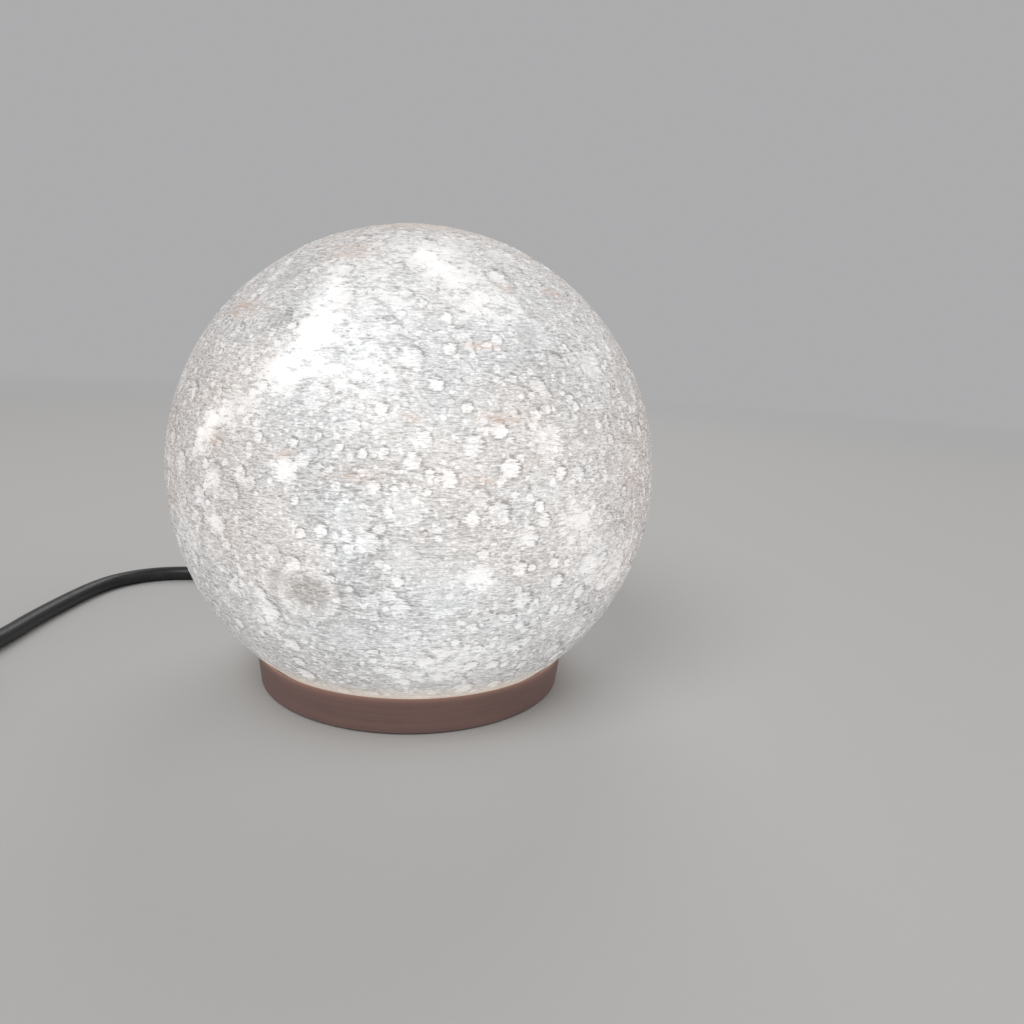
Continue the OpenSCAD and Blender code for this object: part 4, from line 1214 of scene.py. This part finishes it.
def make_frosted_ball(frosted):
    """Frosted ball over the LEDs, a thin shell with a flat edge."""
    centre = 74.5
    edge = math.asin((59.82 - centre) / 22.5)
    rows = 44
    outer = []
    inner = []
    for i in range(rows + 1):
        lat = edge + (math.pi / 2 - edge) * i / rows
        outer.append((22.5 * math.cos(lat) * MM, (centre + 22.5 * math.sin(lat)) * MM))
        inner.append((21.3 * math.cos(lat) * MM, (centre + 21.3 * math.sin(lat)) * MM))
    outer[-1] = (0.0, outer[-1][1])
    inner[-1] = (0.0, inner[-1][1])
    inner[0] = (inner[0][0], outer[0][1])
    profile = [*reversed(inner), *outer]
    piece = turned("bulb_ball", profile, 112)
    finish_piece(piece, "bulb", "frosted_ball", frosted, "bulb_diffuser")


# ---- Plug ----


def plug_section(back, half_w, half_t, power=4.6, count=56):
    """Ring of points round the plug, back mm behind its face."""
    ring = []
    for k in range(count):
        turn = 2 * math.pi * k / count
        c = math.cos(turn)
        s = math.sin(turn)
        across = half_w * math.copysign(abs(c) ** (2 / power), c)
        up = half_t * math.copysign(abs(s) ** (2 / power), s)
        ring.append(Vector((-231 + across, 44 - back, 6.9 + up)) * MM)
    return ring


def plug_half_width(back):
    t = min(max((back - 9) / 27, 0.0), 1.0)
    return 17.65 - 10.65 * (1 - math.cos(math.pi * t)) / 2


def plug_half_height(back):
    t = min(max((back - 9) / 27, 0.0), 1.0)
    height = 6.85 - 1.35 * t
    if 13.0 < back < 27.0:
        grip = math.sin(math.pi * (back - 13.0) / 14.0) ** 0.5
        height -= 0.22 * grip * (1 + math.cos(2 * math.pi * (back - 13.0) / 2.8))
    return height


def make_plug(plastic):
    """Moulded flat plug: a body with finger ridges, drawn in to a ribbed tail."""
    rings = []
    for back, inset in ((0.0, 1.1), (0.15, 0.6), (0.5, 0.2), (1.0, 0.0)):
        rings.append(plug_section(back, 17.65 - inset, 6.85 - inset))
    for i in range(1, 71):
        back = 1.0 + i * 0.5
        if back > 35.6:
            break
        near_end = max(0.0, back - 33.5) / 2.5
        inset = 0.9 * near_end * near_end
        rings.append(
            plug_section(back, plug_half_width(back) - inset, plug_half_height(back) - inset,
                         4.6 - 2.2 * max(0.0, back - 24) / 12)
        )
    ribs = 6
    pitch = 24.0 / ribs
    rings.append(plug_section(36.0, 5.2, 5.2, 2.0))
    for i in range(ribs):
        radius = 5.2 - 1.5 * i / (ribs - 1)
        low = 36.0 + i * pitch
        for step, reach in ((0.15, radius - 0.12), (0.4, radius), (2.1, radius),
                            (2.4, radius - 0.15), (2.55, 3.25), (3.85, 3.25)):
            rings.append(plug_section(low + step, reach, reach, 2.0))
    rings.append(plug_section(60.0, 3.2, 3.2, 2.0))
    points = []
    order = []
    for ring in rings:
        order.append(list(range(len(points), len(points) + len(ring))))
        points.extend(ring)
    faces = [tuple(order[0]), tuple(reversed(order[-1]))]
    for lower, upper in zip(order, order[1:]):
        faces.extend(band(lower, upper))
    piece = add_mesh("plug_shell", points, faces, 50)
    finish_piece(piece, "base", "plug_black", plastic, "plug_body")
    return piece


# ---- Nodes that keep their solid's shape ----


def frosted_plastic():
    """Opal plastic of the bulb, lit from inside, a little darker towards its neck."""
    finish = Finish("frosted_plastic", (0.62, 0.615, 0.60), 0.5, Emission_Strength=0.55)
    height = finish.node("ShaderNodeSeparateXYZ", {"Vector": finish.where}, 2)
    neck = finish.remap(height, 0.060, 0.074)
    mottle = finish.remap(finish.grain(220.0, 4.0), 0.3, 0.7)
    lit = finish.mix(mottle, (0.94, 0.93, 0.90), (1.0, 0.995, 0.97))
    finish.set("Emission Color", finish.mix(neck, (0.62, 0.60, 0.56), lit))
    finish.bump(finish.grain(1800.0, 2.0), 0.00003)
    return finish.material


def dress_nodes(nodes, material):
    for name in nodes:
        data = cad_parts[name].data
        data.materials.clear()
        data.materials.append(material)


def make_base(base_settings, lead_settings):
    """The ring base with its feet, clamp, strain relief, cores and the end of the lead."""
    brown = brown_print(base_settings)
    rubber = moulded("rubber", (0.016, 0.016, 0.018), 0.62, 1100.0, 0.00006)
    dress_nodes(["base_tray"], brown)
    dress_nodes(["lead_in"], lead_sheath(lead_settings))
    clamp = softened("lead_clamp", "clamp_bar", 0.25)
    finish_piece(clamp, "base", "base_brown", brown, "clamp_bar")
    feet = softened("soft_feet", "rubber_feet", 0.3)
    finish_piece(feet, "base", "rubber_black", rubber, "rubber_feet")
    make_strain_relief(rubber)
    live = make_core("live_core", -1, None)
    finish_piece(live, "base", "core_brown",
                 moulded("brown_core", (0.12, 0.045, 0.018), 0.35, 900.0), "wire_live")
    neutral = make_core("neutral_core", 1, None)
    finish_piece(neutral, "base", "core_blue",
                 moulded("blue_core", (0.03, 0.085, 0.34), 0.35, 900.0), "wire_neutral")


def make_holder(brass):
    """The lamp holder: its body, contacts and threaded shell."""
    white = moulded("holder_plastic", (0.70, 0.685, 0.64), 0.38, 1000.0, shade=0.03)
    body = softened("holder", "holder_body", 0.25)
    finish_piece(body, "base", "holder_white", white, "holder_body")
    live = softened("live_spring", "live_contact", 0.12)
    finish_piece(live, "base", "brass", brass, "live_contact")
    neutral = softened("neutral_strip", "neutral_contact", 0.12)
    finish_piece(neutral, "base", "brass", brass, "neutral_contact")
    make_socket_shell(brass)


def make_bulb():
    """The bulb: cap, housing, boards, LEDs and frosted ball."""
    make_cap(plated("cap_nickel", (0.68, 0.68, 0.67), 0.22, (1, 1, 8)))
    make_bulb_housing(moulded("housing_plastic", (0.72, 0.72, 0.705), 0.3, 1000.0, 0.00002, 0.02))
    make_frosted_ball(frosted_plastic())
    dress_nodes(["bulb_contact"], plated("solder_tin", (0.55, 0.56, 0.57), 0.36))
    dress_nodes(
        ["bulb_insulator"], moulded("black_glass", (0.01, 0.01, 0.012), 0.12, 500.0, 0.00001)
    )
    dress_nodes(["driver_board"], moulded("board_lacquer", (0.03, 0.16, 0.06), 0.3, 800.0))
    dress_nodes(["led_board"], moulded("board_white_lacquer", (0.72, 0.72, 0.71), 0.3, 800.0, shade=0.03))
    dress_nodes(["leds"], moulded("led_phosphor", (0.80, 0.62, 0.12), 0.35, 900.0))


def switch_outline(edge):
    """Whether an edge runs round the top or the underside of the switch or up a corner."""
    marks = []
    for vert in edge.verts:
        x = (SWITCH_AT[1] - vert.co.y) / MM
        y = (vert.co.x - SWITCH_AT[0]) / MM
        z = vert.co.z / MM
        at_end = abs(abs(x) - 29) < 0.1
        at_side = abs(abs(y) - (math.sqrt(75 ** 2 - x * x) - 61.5)) < 0.15
        at_top = abs(z - (math.sqrt(150 ** 2 - x * x) - 135)) < 0.15
        marks.append(((at_end or at_side) and (at_top or z < 0.1), at_end and at_side))
    return all(m[0] for m in marks) or all(m[1] for m in marks)


def make_switch(brass):
    """The switch on the lead: two shells, a rocker and its contacts."""
    plastic = moulded("switch_plastic", (0.018, 0.018, 0.02), 0.45, 1500.0, 0.00005)
    lower = softened("switch_lower_shell", "switch_bottom", 0.25, 1.0, switch_outline)
    finish_piece(lower, "base", "switch_black", plastic, "switch_bottom")
    upper = softened("switch_upper_shell", "switch_top", 0.25, 1.5, switch_outline)
    finish_piece(upper, "base", "switch_black", plastic, "switch_top")
    gloss = moulded("rocker_plastic", (0.024, 0.024, 0.026), 0.25, 900.0, 0.00001)
    rocker = softened("rocker_key", "switch_rocker", 0.4)
    finish_piece(rocker, "rocker", "rocker_black", gloss, "switch_rocker")
    dress_nodes(["switch_contacts"], brass)
    return [lower, upper, rocker]


def make_plug_pieces():
    plastic = moulded("plug_plastic", (0.016, 0.016, 0.018), 0.5, 1200.0, 0.00005)
    body = make_plug(plastic)
    dress_nodes(["plug_pins"], plated("pin_nickel", (0.70, 0.69, 0.66), 0.2))
    dress_nodes(["pin_sleeves"], plastic)
    return body


# ---- Operators and panel ----


class MOONLAMP_OT_camera(bpy.types.Operator):
    """Place the camera where the lamp is looked at from."""

    bl_idname = "moonlamp.camera"
    bl_label = "Camera"

    def execute(self, context):
        add_camera()
        return {"FINISHED"}


class MOONLAMP_OT_leads(bpy.types.Operator):
    """Lay the mains lead from the base to the switch, the coil and the plug."""

    bl_idname = "moonlamp.leads"
    bl_label = "Mains Lead"

    def execute(self, context):
        make_leads(context.scene.moonlamp_lead)
        return {"FINISHED"}


class MOONLAMP_OT_stage(bpy.types.Operator):
    """Add the floor, the backdrop and the soft lamps."""

    bl_idname = "moonlamp.stage"
    bl_label = "Stage"

    def execute(self, context):
        make_stage(context.scene.moonlamp_stage)
        return {"FINISHED"}


class MOONLAMP_OT_globe(bpy.types.Operator):
    """Build the cratered globe with its wall, mouth and light."""

    bl_idname = "moonlamp.globe"
    bl_label = "Moon Globe"

    def execute(self, context):
        make_globe(context.scene.moonlamp_globe)
        return {"FINISHED"}


class MOONLAMP_OT_base(bpy.types.Operator):
    """Finish the ring base, its feet, the lead's clamp, the strain relief and the cores."""

    bl_idname = "moonlamp.base"
    bl_label = "Ring Base"

    def execute(self, context):
        make_base(context.scene.moonlamp_base, context.scene.moonlamp_lead)
        return {"FINISHED"}


class MOONLAMP_OT_fittings(bpy.types.Operator):
    """Build the lamp holder, the bulb, the switch, the plug and the screws."""

    bl_idname = "moonlamp.fittings"
    bl_label = "Holder, Bulb, Switch and Plug"

    def execute(self, context):
        brass = plated("spring_brass", (0.72, 0.52, 0.24), 0.3, dull=0.25)
        make_holder(brass)
        make_bulb()
        make_switch(brass)
        make_plug_pieces()
        make_screws(plated("screw_zinc", (0.60, 0.61, 0.62), 0.3))
        return {"FINISHED"}


class MOONLAMP_PT_panel(bpy.types.Panel):
    """Settings and steps of the moon lamp."""

    bl_label = "Moon Lamp"
    bl_space_type = "VIEW_3D"
    bl_region_type = "UI"
    bl_category = "Moon Lamp"

    def draw(self, context):
        layout = self.layout
        scene = context.scene
        for settings in (scene.moonlamp_globe, scene.moonlamp_base, scene.moonlamp_lead,
                         scene.moonlamp_stage):
            box = layout.box()
            for name in settings.__annotations__:
                box.prop(settings, name)
        for step in STEPS:
            layout.operator(step.bl_idname)


GROUPS = {
    "moonlamp_globe": MoonLampGlobeSettings,
    "moonlamp_base": MoonLampBaseSettings,
    "moonlamp_lead": MoonLampLeadSettings,
    "moonlamp_stage": MoonLampStageSettings,
}
STEPS = (
    MOONLAMP_OT_camera,
    MOONLAMP_OT_leads,
    MOONLAMP_OT_stage,
    MOONLAMP_OT_globe,
    MOONLAMP_OT_base,
    MOONLAMP_OT_fittings,
)


def register():
    for name, group in GROUPS.items():
        bpy.utils.register_class(group)
        setattr(bpy.types.Scene, name, PointerProperty(type=group))
    for step in STEPS:
        bpy.utils.register_class(step)
    bpy.utils.register_class(MOONLAMP_PT_panel)


def unregister():
    bpy.utils.unregister_class(MOONLAMP_PT_panel)
    for step in reversed(STEPS):
        bpy.utils.unregister_class(step)
    for name, group in GROUPS.items():
        delattr(bpy.types.Scene, name)
        bpy.utils.unregister_class(group)


def main():
    register()
    bpy.ops.moonlamp.camera()
    bpy.ops.moonlamp.leads()
    bpy.ops.moonlamp.stage()
    bpy.ops.moonlamp.globe()
    bpy.ops.moonlamp.base()
    bpy.ops.moonlamp.fittings()


if __name__ == "__main__":
    main()
